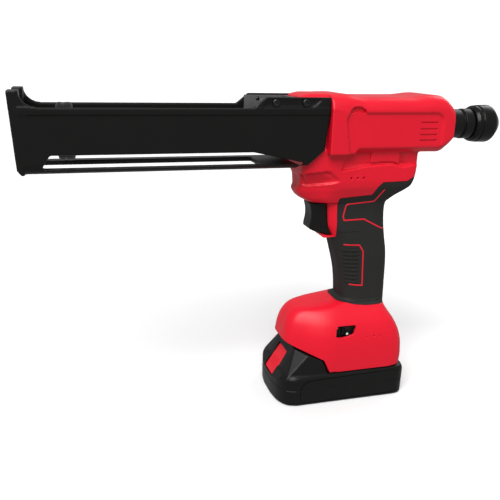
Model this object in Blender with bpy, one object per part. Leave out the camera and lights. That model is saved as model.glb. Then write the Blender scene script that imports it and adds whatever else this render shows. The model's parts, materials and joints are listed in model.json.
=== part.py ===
"""Cordless caulking gun: a battery tool that pushes a toothed rod through a 310 ml cartridge.

The tool stands on the underside of its battery. The origin is the middle of that face, +X runs
from the nozzle back to the pull knob, +Y is the tool's right side and +Z is up. Metres.
"""
import math

import bmesh
import bpy
from mathutils import Matrix, Vector

# ---------------------------------------------------------------- driving dimensions
GAP = 0.0003                    # between pieces that touch
RUNNING_GAP = 0.0002            # round a shaft that turns in a hole
STEP = 0.00001                  # length of a square step in a turned profile
OVERLAP = 0.0010                # how far a joined piece runs into the other
CLEAR_OF = 0.0100               # how far a cutter runs past the solid
AXIS_Z = 0.250                  # middle line of the cartridge, piston and tray
ROD_RISE = 0.0045               # rod, bush, sleeve and knob lie this far above it

CARTRIDGE_RADIUS = 0.0255       # 310 ml cartridge, with room to drop in
CARTRIDGE_LENGTH = 0.2135
TRAY_WALL = 0.0030
RIM_HEIGHT = 0.0203             # rim above the axis
RIM_BAND = 0.0055               # thicker band along the rim
RIM_PROUD = 0.0006
TRAY_FLOOR = 0.0040
TRAY_CORNER = 0.0085
FLANGE_THICKNESS = 0.0080
FLANGE_RISE = 0.0325            # flange top above the axis
FLANGE_RAKE = 0.0030
NOTCH_RADIUS = 0.0150           # seat of the cartridge's neck
GUSSET_LENGTH = 0.0130
SLOT_HEIGHT = 0.0107
SLOT_END = 0.0120               # solid wall left between flange and side slot
FLOOR_OPENING_HALF = 0.0180
EAR_RISE = 0.0290               # ear top above the axis
EAR_LENGTH = 0.0560
EAR_SLANT = 0.0105
EAR_POCKET_DEPTH = 0.0012

BRACKET_THICKNESS = 0.0014
BRACKET_HEIGHT = 0.0110
BRACKET_PLATE = 0.0020
BUSH_RADIUS = 0.0095
BUSH_FLANGE = 0.0025

ROD_WIDTH = 0.0080
ROD_HEIGHT = 0.0140
RACK_MODULE = 0.00125
PISTON_RADIUS = 0.0225
PISTON_THICKNESS = 0.0130
PISTON_START = 0.0245           # piston ahead of the flange's inner face at rest
SOCKET_DEPTH = 0.0070           # of the rod into the piston
BOLT_RADIUS = 0.0020
BOLT_HEAD_RADIUS = 0.0040
BOLT_HEAD_DEPTH = 0.0022
BOLT_SINK = 0.0028
ROD_CLEARANCE = 0.0004          # round the rod in its guides
KNOB_RADIUS = 0.0172
KNOB_LENGTH = 0.0288
KNOB_WALL = 0.0100              # behind the end of the rod
SLEEVE_RADIUS = 0.0139

HOUSING_WALL = 0.0025
NOSE_FRONT_X = -0.0520
BOX_FRONT_X = -0.0290
BOX_REAR_X = 0.0865
BOX_HALF_WIDTH = 0.0330
NOSE_HALF_WIDTH = 0.0232
BOX_TOP = 0.0308                # above the axis
BOX_BOTTOM = -0.0175

OUTPUT_X = -0.0310
PINION_TEETH = 13
PINION_FACE = 0.0064
OUTPUT_MODULE = 0.0010
OUTPUT_GEAR_TEETH = 20
CROSS_PINION_TEETH = 12
BEVEL_MODULE = 0.00095
BEVEL_GEAR_TEETH = 24
BEVEL_PINION_TEETH = 12
BEVEL_FACE = 0.0035
PLANET_MODULE = 0.0006
SUN_TEETH = 12
PLANET_TEETH = 15
RING_TEETH = 42
RING_WALL = 0.0019              # outside the pitch circle
GEAR_SHAFT_RADIUS = 0.0028
GEAR_FACE = 0.0060
GEAR_STANDOFF = 0.0025          # from the side of the rod to the output gear
PLANET_PIN_RADIUS = 0.0016
CARRIER_DISC = 0.0020
CARRIER_NECK_RADIUS = 0.0030
CARRIER_MARGIN = 0.0030
CARRIER_THICKNESS = 0.0030
PLATE_HALF_LENGTH = 0.0110
PLATE_BELOW = 0.0080            # the motor axis
PLATE_ABOVE = 0.0100            # the output axis
MOTOR_RADIUS = 0.0145
MOTOR_LENGTH = 0.0400
CAN_WALL = 0.0016
CAN_FACE = 0.0020
CORE_RADIUS = MOTOR_RADIUS - CAN_WALL - 0.0024  # rotor core, clear of the can
CORE_INSET, CORE_REAR_INSET = 0.0060, 0.0080
ROTOR_SHAFT_RADIUS = 0.0016
SHAFT_TAIL = 0.0048
BEARING_RADIUS = 0.0065
BEARING_WIDTH = 0.0036
PLATE_THICKNESS = 0.0046

GRIP_THICKNESS = 0.0022
HANDLE_WALL = 0.0026
TRIGGER_HALF_WIDTH = 0.0090
TRIGGER_TRAVEL = 0.0055
SCREW_RADIUS = 0.0015
SCREW_HEAD_RADIUS = 0.0030
TRAY_SCREW_HEAD_RADIUS = 0.0032
BOSS_RADIUS = 0.0036
BARREL_BOSS_REACH = BOX_HALF_WIDTH - 0.0018  # from the middle plane into the side wall
HANDLE_BOSS_REACH = 0.0125
FOOT_BOSS_REACH = 0.0310
HEAD_DEPTH = 0.0040             # a screw head's seat below the end of its boss
HEAD_HEIGHT = 0.0022

BATTERY_HALF_WIDTH = 0.0387
BATTERY_FRONT_X = -0.0670
BATTERY_REAR_X = 0.0610
BATTERY_DECK = 0.0300
CASE_SPLIT = 0.0160
CASE_WALL = 0.0024
CASE_BOTTOM_CHAMFER = 0.0028
FRONT_CORNER = ((0.0170, 0.0), (0.0085, 0.0035), (0.0030, 0.0120), (0.0010, 0.0260))  # back, in from the side
HOLLOW_FRONT_X = -0.0480         # the upper case is solid ahead of this, round the button
RAIL_HALF_WIDTH = 0.0215
RAIL_HEIGHT = 0.0130
CELL_RADIUS = 0.0091
CELL_LENGTH = 0.0650
CELL_COUNT = 5
CELL_PITCH = 0.0189
CELL_CLEARANCE = 0.0004
CELLS_REARWARD = 0.0040         # middle cell behind the middle of the tool
PACK_BOARD_X = (-0.0300, 0.0400)
PACK_BOARD_HALF = 0.0250
PACK_BOARD_THICKNESS = 0.0016
RAIL_X = (-0.0300, 0.0450)
RAIL_GROOVE_X = (-0.0150, 0.0500)
RAIL_GROOVE_Z = (0.0030, 0.0080)  # above the battery's deck
RAIL_GROOVE_DEPTH = 0.0035

# ---------------------------------------------------------------- sizes that follow
TRAY_HALF_INNER = CARTRIDGE_RADIUS + 0.0007
TRAY_HALF_OUTER = TRAY_HALF_INNER + TRAY_WALL
TRAY_BOTTOM = AXIS_Z - CARTRIDGE_RADIUS - TRAY_FLOOR
FLANGE_BACK_X = NOSE_FRONT_X - 2 * GAP - BRACKET_PLATE - BUSH_FLANGE - CARTRIDGE_LENGTH
FLANGE_FRONT_X = FLANGE_BACK_X - FLANGE_THICKNESS
PISTON_FRONT_X = FLANGE_BACK_X + PISTON_START
PISTON_BACK_X = PISTON_FRONT_X + PISTON_THICKNESS
BRACKET_FRONT_X = NOSE_FRONT_X - GAP - BRACKET_PLATE
ROD_TRAVEL = BRACKET_FRONT_X - GAP - BUSH_FLANGE - PISTON_BACK_X - 0.0010
RIM_Z = AXIS_Z + RIM_HEIGHT
ROD_Z = AXIS_Z + ROD_RISE
RACK_TIP_Z = ROD_Z - ROD_HEIGHT / 2
RACK_PITCH_Z = RACK_TIP_Z + RACK_MODULE
PINION_RADIUS = PINION_TEETH * RACK_MODULE / 2
OUTPUT_Z = RACK_PITCH_Z - PINION_RADIUS
OUTPUT_GEAR_RADIUS = OUTPUT_GEAR_TEETH * OUTPUT_MODULE / 2
CROSS_PINION_RADIUS = CROSS_PINION_TEETH * OUTPUT_MODULE / 2
MOTOR_Z = OUTPUT_Z - OUTPUT_GEAR_RADIUS - CROSS_PINION_RADIUS
BEVEL_GEAR_RADIUS = BEVEL_GEAR_TEETH * BEVEL_MODULE / 2
BEVEL_PINION_RADIUS = BEVEL_PINION_TEETH * BEVEL_MODULE / 2
BEVEL_PINION_X = OUTPUT_X + BEVEL_GEAR_RADIUS
CARRIER_X = BEVEL_PINION_X + 0.0080
PLANET_X = CARRIER_X + 0.0035
PLANET_LENGTH = 0.0060
MOTOR_FRONT_X = PLANET_X + PLANET_LENGTH + 0.0020
MOTOR_BACK_X = MOTOR_FRONT_X + MOTOR_LENGTH
PLANET_ORBIT = (SUN_TEETH + PLANET_TEETH) * PLANET_MODULE / 2
RING_RADIUS = RING_TEETH * PLANET_MODULE / 2 + RING_WALL
SLEEVE_REAR_X = BOX_REAR_X + 0.0342
KNOB_FRONT_X = SLEEVE_REAR_X + GAP
KNOB_REAR_X = KNOB_FRONT_X + KNOB_LENGTH
PLATE_INNER_Y = NOSE_HALF_WIDTH - HOUSING_WALL - GAP - PLATE_THICKNESS
CONTACT_X = (0.0240, 0.0400)
CONTACT_HALF = 0.0160
CONTACT_TOP_Z = 0.0530
CELL_Z = CASE_WALL + 2 * GAP + CELL_RADIUS

RED = (0.80, 0.012, 0.035)
BLACK = (0.012, 0.012, 0.011)
RUBBER = (0.028, 0.028, 0.026)
STEEL = (0.42, 0.42, 0.43)
BRIGHT = (0.60, 0.60, 0.61)
BRASS = (0.60, 0.43, 0.18)
WHITE_PLASTIC = (0.70, 0.69, 0.64)
BOARD = (0.02, 0.16, 0.06)
CELL_BLUE = (0.03, 0.16, 0.38)
COPPER = (0.62, 0.30, 0.16)


# ---------------------------------------------------------------- scene and materials
def clear_scene():
    for obj in list(bpy.data.objects):
        bpy.data.objects.remove(obj)


def finish_of(name, colour, roughness, metallic):
    found = bpy.data.materials.get(name)
    if found:
        return found
    made = bpy.data.materials.new(name)
    made.use_nodes = True
    shader = made.node_tree.nodes["Principled BSDF"]
    shader.inputs["Base Color"].default_value = (*colour, 1.0)
    shader.inputs["Roughness"].default_value = roughness
    shader.inputs["Metallic"].default_value = metallic
    return made


def red_plastic():
    return finish_of("red_plastic", RED, 0.42, 0.0)


def black_plastic():
    return finish_of("black_plastic", BLACK, 0.50, 0.0)


def rubber():
    return finish_of("rubber", RUBBER, 0.75, 0.0)


def steel():
    return finish_of("steel", STEEL, 0.35, 1.0)


def bright_steel():
    return finish_of("bright_steel", BRIGHT, 0.25, 1.0)


# ---------------------------------------------------------------- shapes
def mesh_object(name, bm, material=None):
    """A named object from a closed bmesh; with no material it is a hidden helper."""
    bmesh.ops.recalc_face_normals(bm, faces=bm.faces)
    mesh = bpy.data.meshes.new(name)
    bm.to_mesh(mesh)
    bm.free()
    obj = bpy.data.objects.new(name, mesh)
    bpy.context.scene.collection.objects.link(obj)
    if material is None:
        obj.hide_render = True
        obj.display_type = "WIRE"
    else:
        mesh.materials.append(material)
        mesh.shade_smooth()
        mesh.set_sharp_from_angle(angle=math.radians(32))
    return obj


def placed(plane, u, v, w):
    """A point from outline coordinates u, v and a height w across the outline's plane."""
    if plane == "XZ":
        return Vector((u, w, v))
    if plane == "YZ":
        return Vector((w, u, v))
    return Vector((u, v, w))


def prism(name, outline, plane, low, high, material=None):
    """An outline in the XZ, YZ or XY plane, extruded from low to high along the third axis."""
    return loft(name, [[placed(plane, u, v, w) for u, v in outline] for w in (low, high)], material)


def loft(name, rings, material=None):
    """Rings of equally many points, joined side by side and closed at both ends."""
    bm = bmesh.new()
    rows = [[bm.verts.new(point) for point in ring] for ring in rings]
    count = len(rows[0])
    for first, second in zip(rows, rows[1:]):
        for i in range(count):
            j = (i + 1) % count
            bm.faces.new((first[i], first[j], second[j], second[i]))
    bm.faces.new(rows[0])
    bm.faces.new(rows[-1])
    return mesh_object(name, bm, material)


def hull(name, points, material=None):
    bm = bmesh.new()
    for point in points:
        bm.verts.new(point)
    made = bmesh.ops.convex_hull(bm, input=bm.verts)
    unused = {item for item in made["geom_interior"] if isinstance(item, bmesh.types.BMVert)}
    bmesh.ops.delete(bm, geom=list(unused), context="VERTS")
    return mesh_object(name, bm, material)


def box(name, low, high, material=None):
    outline = ((low[0], low[1]), (high[0], low[1]), (high[0], high[1]), (low[0], high[1]))
    return prism(name, outline, "XY", low[2], high[2], material)


def circle(radius, sides, centre=(0.0, 0.0), turn=0.0):
    return [
        (
            centre[0] + radius * math.cos(turn + math.tau * i / sides),
            centre[1] + radius * math.sin(turn + math.tau * i / sides),
        )
        for i in range(sides)
    ]


def rod_between(name, axis, centre, radius, low, high, material=None, sides=20):
    """A cylinder along X, Y or Z; centre gives its other two coordinates in X, Y, Z order."""
    plane = {"X": "YZ", "Y": "XZ", "Z": "XY"}[axis]
    return prism(name, circle(radius, sides, centre), plane, low, high, material)


def turned_x(name, profile, centre, material=None, sides=28):
    """A solid of revolution about a line along X. The profile is (x, radius) from end to end."""
    rings = [
        [(x, y, z) for y, z in circle(radius, sides, centre)] for x, radius in profile
    ]
    return loft(name, rings, material)


def rounded_rectangle(low_u, high_u, low_v, high_v, radius, steps=3):
    """Corner points run round the rectangle, steps + 1 to a corner."""
    radius = min(radius, (high_u - low_u) / 2.02, (high_v - low_v) / 2.02)
    corners = (
        (high_u - radius, high_v - radius, 0),
        (low_u + radius, high_v - radius, 1),
        (low_u + radius, low_v + radius, 2),
        (high_u - radius, low_v + radius, 3),
    )
    points = []
    for u, v, quarter in corners:
        for step in range(steps + 1):
            angle = (quarter + step / steps) * math.pi / 2
            points.append((u + radius * math.cos(angle), v + radius * math.sin(angle)))
    return points


def combine(obj, other, operation):
    modifier = obj.modifiers.new(operation.lower(), "BOOLEAN")
    modifier.operation = operation
    modifier.object = other
    return obj


def cut(obj, *cutters):
    for cutter in cutters:
        combine(obj, cutter, "DIFFERENCE")
    return obj


def join(obj, *helpers):
    for helper in helpers:
        combine(obj, helper, "UNION")
    return obj


def keep_inside(obj, region):
    return combine(obj, region, "INTERSECT")


# ---------------------------------------------------------------- gears
def tooth_outline(teeth, module, thickness=0.40, addendum=0.90, dedendum=1.15, turn=0.0):
    """Straight-flanked teeth as polar points, a tooth centred on the angle turn."""
    pitch_radius = teeth * module / 2
    step = math.tau / teeth
    root, tip = pitch_radius - dedendum * module, pitch_radius + addendum * module
    points = []
    for tooth in range(teeth):
        middle = turn + tooth * step
        for radius, half in (
            (root, thickness * 0.76),
            (tip, thickness * 0.26),
            (tip, -thickness * 0.26),
            (root, -thickness * 0.76),
        ):
            points.append((radius, middle - half * step))
    return points


def flat(polar, centre=(0.0, 0.0)):
    return [
        (centre[0] + radius * math.cos(angle), centre[1] + radius * math.sin(angle))
        for radius, angle in polar
    ]


def spur_gear(name, axis, centre, teeth, module, low, high, material, turn=0.0):
    plane = {"X": "YZ", "Y": "XZ"}[axis]
    return prism(name, flat(tooth_outline(teeth, module, turn=turn), centre), plane, low, high, material)


def bevel_gear(name, axis, apex, teeth, mate_teeth, side, hub_length, material, turn=0.0):
    """A straight bevel gear whose teeth point at the apex. side is +1 or -1 along its axis."""
    pitch_radius = teeth * BEVEL_MODULE / 2
    distance = mate_teeth * BEVEL_MODULE / 2
    cone = math.hypot(pitch_radius, distance)
    rings = []
    for scale in (1 - BEVEL_FACE / cone, 1.0):
        ring = []
        for radius, angle in tooth_outline(teeth, BEVEL_MODULE, turn=turn):
            rise = radius - pitch_radius
            along = distance - rise * pitch_radius / cone
            out = pitch_radius + rise * distance / cone
            ring.append((scale * along * side, scale * out, angle))
        rings.append(ring)
    hub = pitch_radius - 1.6 * BEVEL_MODULE
    rings.append([((distance + hub_length) * side, hub, angle) for _, _, angle in rings[0]])
    points = []
    for ring in rings:
        if axis == "X":
            points.append([
                (apex[0] + a, apex[1] + r * math.cos(t), apex[2] + r * math.sin(t)) for a, r, t in ring
            ])
        else:
            points.append([
                (apex[0] + r * math.cos(t), apex[1] + a, apex[2] + r * math.sin(t)) for a, r, t in ring
            ])
    return loft(name, points, material)


# ---------------------------------------------------------------- body shape of housing and grip
# Each station is height, front x, rear x, half width and corner radius.
FOOT_STATIONS = (
    (BATTERY_DECK + GAP, -0.0560, 0.0575, 0.0370, 0.018),
    (0.0480, -0.0575, 0.0580, 0.0372, 0.018),
    (0.0640, -0.0560, 0.0560, 0.0358, 0.018),
    (0.0760, -0.0530, 0.0520, 0.0320, 0.018),
    (0.0860, -0.0450, 0.0480, 0.0260, 0.018),
    (0.0900, -0.0180, 0.0465, 0.0215, 0.017),
)
HANDLE_STATIONS = (
    (0.0925, -0.0010, 0.0450, 0.0185, 0.014),
    (0.1050, -0.0012, 0.0445, 0.0172, 0.013),
    (0.1200, -0.0035, 0.0443, 0.0170, 0.013),
    (0.1380, -0.0085, 0.0430, 0.0175, 0.013),
    (0.1540, -0.0135, 0.0400, 0.0175, 0.013),
    (0.1660, -0.0190, 0.0383, 0.0172, 0.013),
    (0.1790, -0.0200, 0.0375, 0.0170, 0.013),
    (0.1868, -0.0200, 0.0385, 0.0174, 0.013),
)
SHOULDER_STATIONS = (
    (0.1874, -0.0360, 0.0390, 0.0180, 0.012),
    (0.1930, -0.0464, 0.0460, 0.0205, 0.010),
    (0.1990, -0.0490, 0.0560, 0.0225, 0.009),
    (0.2020, -0.0465, 0.0585, 0.0238, 0.009),
    (0.2070, -0.0468, 0.0592, 0.0250, 0.008),
    (0.2180, -0.0488, 0.0600, 0.0252, 0.008),
    (0.2360, -0.0488, 0.0590, 0.0252, 0.008),
)
GRIP_LOW_Z, GRIP_HIGH_Z = 0.0900, 0.2060


def body_rings(stations, inset):
    rings = []
    for z, front, rear, half, radius in stations:
        outline = rounded_rectangle(
            front + inset, rear - inset, inset - half, half - inset, max(radius - inset, 0.002)
        )
        rings.append([(x, y, z) for x, y in outline])
    return rings


def hood_line(drop):
    """The stepped joint between foot and battery hood, seen from the side, lowered by drop."""
    line = ((-0.0175, 0.0300), (-0.0240, 0.0430), (-0.0380, 0.0490), (-0.0700, 0.0630))
    return [(x - 0.3 * drop, z - drop) for x, z in line]


def box_section(inset):
    """Half the barrel housing's section across the tool, as (y, z), mirrored to a full outline."""
    half, top, bottom = BOX_HALF_WIDTH - inset, AXIS_Z + BOX_TOP - inset, AXIS_Z + BOX_BOTTOM + inset
    right = (
        (half - 0.0105, top),
        (half - 0.0040, top - 0.0022),
        (half, top - 0.0078),
        (half, bottom + 0.0072),
        (half - 0.0080, bottom),
    )
    return list(right) + [(-y, z) for y, z in reversed(right)]


def side_region(name, side, gap):
    """Everything on one side of the middle plane."""
    low, high = sorted((side * gap, side * 0.1))
    return box(name, (-0.4, low, -0.05), (0.4, high, 0.4))


def mid_profile_of_grip(name, grow):
    """Side view of the rubber overmould, which wraps the handle and climbs behind the shoulder."""
    outline = (
        (-0.0400 - grow, GRIP_LOW_Z + 0.0040 - grow),
        (0.0040, GRIP_LOW_Z + 0.0020 - grow),
        (0.0170, GRIP_LOW_Z - 0.0010 - grow),
        (0.0800, GRIP_LOW_Z - 0.0010 - grow),
        (0.0800, GRIP_HIGH_Z + grow),
        (0.0260 - grow, GRIP_HIGH_Z + grow),
        (0.0180 - grow, 0.1942 + grow),
        (-0.0125 - grow, 0.1915 + grow),
        (-0.0105 - grow, 0.1548 + grow),
        (-0.0400 - grow, 0.1530 + grow),
    )
    return prism(name, outline, "XZ", -0.06, 0.06)


SLIDE_WINDOW = ((-0.0125, -0.0500, 0.0655), (0.0075, -0.0200, 0.0745))
TRIGGER_MOUTH_X = (-0.0300, -0.0060)
TRIGGER_MOUTH_Z = (0.1556, 0.1869)
BATTERY_BAY_X = (-0.0600, 0.0470)
BATTERY_BAY_LOW_Z = 0.0200
RIB_THICKNESS = 0.0020
CRADLE_INNER, CRADLE_OUTER = 0.0100, 0.0240
CRADLE_INSET = (0.0010, 0.0060)
GUIDE_X = (0.0080, 0.0480)
GUIDE_CLEARANCE = 0.0012
GUIDE_OUTER = BOX_HALF_WIDTH - 0.0015
GUIDE_BELOW, GUIDE_ABOVE = 0.0060, 0.0290
HOLE_REACH = 0.0060
REAR_SCREW_X = 0.0760
UPPER_SCREW_RISE, MIDDLE_SCREW_RISE, LOWER_SCREW_DROP = 0.0045, 0.0075, 0.0055  # clear of the rod
HOUSING_SCREWS = (
    (REAR_SCREW_X, ROD_Z + ROD_HEIGHT / 2 + UPPER_SCREW_RISE),
    (REAR_SCREW_X, ROD_Z - ROD_HEIGHT / 2 - LOWER_SCREW_DROP),
    (0.0200, ROD_Z + ROD_HEIGHT / 2 + MIDDLE_SCREW_RISE),
    (0.0320, 0.1925),
    (0.0330, 0.1120),
    (0.0055, 0.1280),
    (0.0470, 0.0600),
)


def housing_half(name, side):
    """One clamshell half: barrel box, nose, shoulder, handle core and foot, hollow inside."""
    made = loft(name, body_rings(FOOT_STATIONS + HANDLE_STATIONS + SHOULDER_STATIONS, 0.0), red_plastic())
    barrel = barrel_box(name + "_barrel", 0.0)
    nose = nose_block(name + "_nose", 0.0)
    join(made, barrel, nose)
    keep_inside(made, side_region(name + "_region", side, GAP / 2))
    cut(made, mid_profile_of_grip(name + "_grip_bed", GAP))
    core_stations = FOOT_STATIONS[2:] + HANDLE_STATIONS + SHOULDER_STATIONS
    core = loft(name + "_core", body_rings(core_stations, GRIP_THICKNESS + GAP))
    keep_inside(core, side_region(name + "_core_region", side, GAP / 2))
    join(made, core)
    cut(
        made,
        barrel_box(name + "_barrel_hollow", HOUSING_WALL),
        nose_block(name + "_nose_hollow", HOUSING_WALL),
        loft(name + "_lower_hollow", shoulder_hollow_rings()),
        loft(name + "_foot_hollow", body_rings(FOOT_STATIONS[1:5], HOUSING_WALL)),
        loft(
            name + "_handle_hollow",
            body_rings(
                FOOT_STATIONS[3:] + HANDLE_STATIONS + SHOULDER_STATIONS[:3],
                GRIP_THICKNESS + GAP + HANDLE_WALL,
            ),
        ),
    )
    join(made, *inner_ribs(name, side))
    cut(made, *inner_clearances(name), *outer_openings(name))
    for place, (x, z) in enumerate(HOUSING_SCREWS):
        join(made, screw_boss(f"{name}_boss_{place}", side, x, z))
    for place, (x, z) in enumerate(HOUSING_SCREWS):
        cut(made, *screw_holes(f"{name}_hole_{place}", side, x, z))
    return made


def barrel_box(name, inset):
    """The box behind the tray; its rear top edge slopes down."""
    front, rear = BOX_FRONT_X + inset, BOX_REAR_X - inset
    slope = 0.0120
    full = box_section(inset)
    lowered = [(y * 0.95, min(z, AXIS_Z + BOX_TOP - inset - 0.0085)) for y, z in full]
    rings = [[(x, y, z) for y, z in full] for x in (front, rear - slope)]
    rings.append([(rear, y, z) for y, z in lowered])
    return loft(name, rings)


def nose_block(name, inset):
    """The narrower front of the housing, which sits between the tray's ears."""
    low = TRAY_BOTTOM + TRAY_FLOOR + 2 * GAP + inset
    top = AXIS_Z + BOX_TOP - inset
    half = NOSE_HALF_WIDTH - inset
    outline = (
        (-half, low), (half, low), (half, top - 0.0040), (half - 0.0050, top),
        (0.0050 - half, top), (-half, top - 0.0040),
    )
    rings = [
        [(x, y, z) for y, z in outline]
        for x in (NOSE_FRONT_X + inset, BOX_FRONT_X + 0.0080 + inset)
    ]
    return loft(name, rings)


def shoulder_hollow_rings():
    rings = body_rings(SHOULDER_STATIONS[3:], HOUSING_WALL)
    raised = [[(x, y, z + 0.0090) for x, y, z in rings[-1]]]
    return [[(x, y, z + 0.0015) for x, y, z in rings[0]]] + rings[1:] + raised


def inner_ribs(name, side):
    """Cradles for motor and gearbox, and stiffening ribs across the barrel box."""
    ribs = []
    low, high = sorted((side * CRADLE_INNER, side * CRADLE_OUTER))
    places = (PLANET_X + CRADLE_INSET[0], MOTOR_FRONT_X + CRADLE_INSET[1], MOTOR_BACK_X - CRADLE_INSET[1])
    for place, x in enumerate(places):
        ribs.append(
            box(
                f"{name}_cradle_{place}",
                (x, low, GRIP_HIGH_Z + 2 * GAP),
                (x + RIB_THICKNESS, high, AXIS_Z + BOX_BOTTOM + OVERLAP),
            )
        )
    low, high = sorted((side * (ROD_WIDTH / 2 + GUIDE_CLEARANCE), side * GUIDE_OUTER))
    for place, x in enumerate(GUIDE_X):
        ribs.append(
            box(
                f"{name}_guide_{place}",
                (x, low, AXIS_Z - GUIDE_BELOW),
                (x + RIB_THICKNESS, high, AXIS_Z + GUIDE_ABOVE),
            )
        )
    return ribs


def inner_clearances(name):
    return [
        rod_between(
            name + "_gearbox_bed", "X", (0.0, MOTOR_Z), RING_RADIUS + GAP,
            CARRIER_X - HOLE_REACH, MOTOR_FRONT_X - GAP, sides=28,
        ),
        rod_between(
            name + "_motor_bed", "X", (0.0, MOTOR_Z), MOTOR_RADIUS + GAP,
            MOTOR_FRONT_X - GAP, MOTOR_BACK_X + HOLE_REACH, sides=28,
        ),
    ]


def outer_openings(name):
    """Rod holes, trigger mouth, switch window, vents, battery bay and the hood's recess."""
    hood = hood_line(-2 * GAP)
    return [
        rod_between(
            name + "_front_hole", "X", (0.0, ROD_Z), BUSH_RADIUS + GAP, NOSE_FRONT_X - 0.01,
            NOSE_FRONT_X + HOLE_REACH, sides=24,
        ),
        rod_between(
            name + "_rear_hole", "X", (0.0, ROD_Z), BUSH_RADIUS + 2 * GAP, BOX_REAR_X - HOLE_REACH,
            BOX_REAR_X + 0.01, sides=24,
        ),
        box(
            name + "_trigger_mouth", (TRIGGER_MOUTH_X[0], -TRIGGER_HALF_WIDTH - 2 * GAP, TRIGGER_MOUTH_Z[0]),
            (TRIGGER_MOUTH_X[1], TRIGGER_HALF_WIDTH + 2 * GAP, TRIGGER_MOUTH_Z[1]),
        ),
        box(
            name + "_battery_bay", (BATTERY_BAY_X[0], -RAIL_HALF_WIDTH - 2 * GAP, BATTERY_BAY_LOW_Z),
            (BATTERY_BAY_X[1], RAIL_HALF_WIDTH + 2 * GAP, BATTERY_DECK + RAIL_HEIGHT + 4 * GAP),
        ),
        prism(
            name + "_hood_recess",
            [hood[0], hood[1], hood[2], hood[3], (-0.0900, hood[3][1]), (-0.0900, 0.0), (hood[0][0], 0.0)],
            "XZ", -0.06, 0.06,
        ),
        box(name + "_slide_window", *SLIDE_WINDOW),
        box(
            name + "_contact_window", (CONTACT_X[0] - GAP, -CONTACT_HALF - GAP, BATTERY_DECK + 0.002),
            (CONTACT_X[1] + GAP, CONTACT_HALF + GAP, CONTACT_TOP_Z + GAP),
        ),
    ]


def screw_boss(name, side, x, z):
    low, high = sorted((side * GAP / 2, side * boss_reach(x, z)))
    return rod_between(name, "Y", (x, z), BOSS_RADIUS, low, high, sides=12)


def boss_reach(x, z):
    """How far from the middle plane a boss runs before it is in the wall."""
    if z > AXIS_Z + BOX_BOTTOM:
        return BARREL_BOSS_REACH
    if z > GRIP_LOW_Z:
        return HANDLE_BOSS_REACH
    return FOOT_BOSS_REACH


def screw_holes(name, side, x, z):
    reach = boss_reach(x, z)
    hole = rod_between(
        name, "Y", (x, z), SCREW_RADIUS + GAP, *sorted((-0.001 * side, side * (reach - 0.0030))), sides=12
    )
    if side < 0:
        return [hole]
    head = rod_between(
        name + "_head", "Y", (x, z), SCREW_HEAD_RADIUS + GAP, reach - HEAD_DEPTH, 0.06, sides=12
    )
    return [hole, head]


def housing_screw(number, x, z):
    """A screw put in from the right side, its head sunk in the right half."""
    reach = boss_reach(x, z)
    head_low = reach - HEAD_DEPTH + GAP
    made = rod_between(
        f"housing_screw_{number}", "Y", (x, z), SCREW_RADIUS,
        0.0045 - reach, head_low + 0.0005, steel(), sides=12
    )
    return join(made, rod_between(
        f"housing_screw_{number}_head", "Y", (x, z), SCREW_HEAD_RADIUS,
        head_low, head_low + HEAD_HEIGHT, sides=12
    ))


def grip_half(name, side):
    """The soft overmould of one half, wrapped round the handle core."""
    stations = FOOT_STATIONS[3:] + HANDLE_STATIONS + SHOULDER_STATIONS
    made = loft(name, body_rings(stations, 0.0), rubber())
    keep_inside(made, mid_profile_of_grip(name + "_profile", 0.0))
    keep_inside(made, side_region(name + "_region", side, GAP / 2))
    cut(made, loft(name + "_bed", body_rings(stations, GRIP_THICKNESS)))
    if side > 0:
        for place, (x, z) in enumerate(HOUSING_SCREWS):
            if GRIP_LOW_Z < z < GRIP_HIGH_Z:
                cut(made, rod_between(
                    f"{name}_screw_hole_{place}", "Y", (x, z), SCREW_HEAD_RADIUS + GAP, 0.005, 0.06, sides=12
                ))
    return made


# ---------------------------------------------------------------- cartridge tray
def tray_section(inner, outer, rim_z):
    """Square-sided trough with rounded lower corners, as (y, z)."""
    def side_run(half, bottom, radius):
        run = [(half, rim_z)]
        for step in range(5):
            angle = -step / 4 * math.pi / 2
            run.append((half - radius + radius * math.cos(angle), bottom + radius + radius * math.sin(angle)))
        return run

    outside = side_run(outer, TRAY_BOTTOM, TRAY_CORNER)
    inside = side_run(inner, TRAY_BOTTOM + TRAY_FLOOR, TRAY_CORNER + 0.0045)
    outline = outside + [(-y, z) for y, z in reversed(outside)]
    return outline + [(-y, z) for y, z in inside] + [(y, z) for y, z in reversed(inside)]


def tray_wall_outline():
    """Side view of one tray wall: rim, gusset up to the flange, ear and slanted rear end."""
    front = FLANGE_BACK_X - 0.0010
    ear_front = BOX_FRONT_X - GAP - EAR_LENGTH - EAR_SLANT
    gusset = []
    for step in range(6):
        angle = step / 5 * math.pi / 2
        gusset.append((
            FLANGE_BACK_X + GUSSET_LENGTH * (1 - math.sin(angle)),
            RIM_Z + (FLANGE_RISE - RIM_HEIGHT) * (1 - math.cos(angle)),
        ))
    rear = BOX_FRONT_X - GAP
    ear = [
        (ear_front, RIM_Z),
        (ear_front + EAR_SLANT, AXIS_Z + EAR_RISE),
        (rear, AXIS_Z + EAR_RISE),
        (rear, RIM_Z - 0.0010),
    ]
    return [(front, RIM_Z - 0.0010), (front, AXIS_Z + FLANGE_RISE)] + gusset[::-1] + ear


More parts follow.
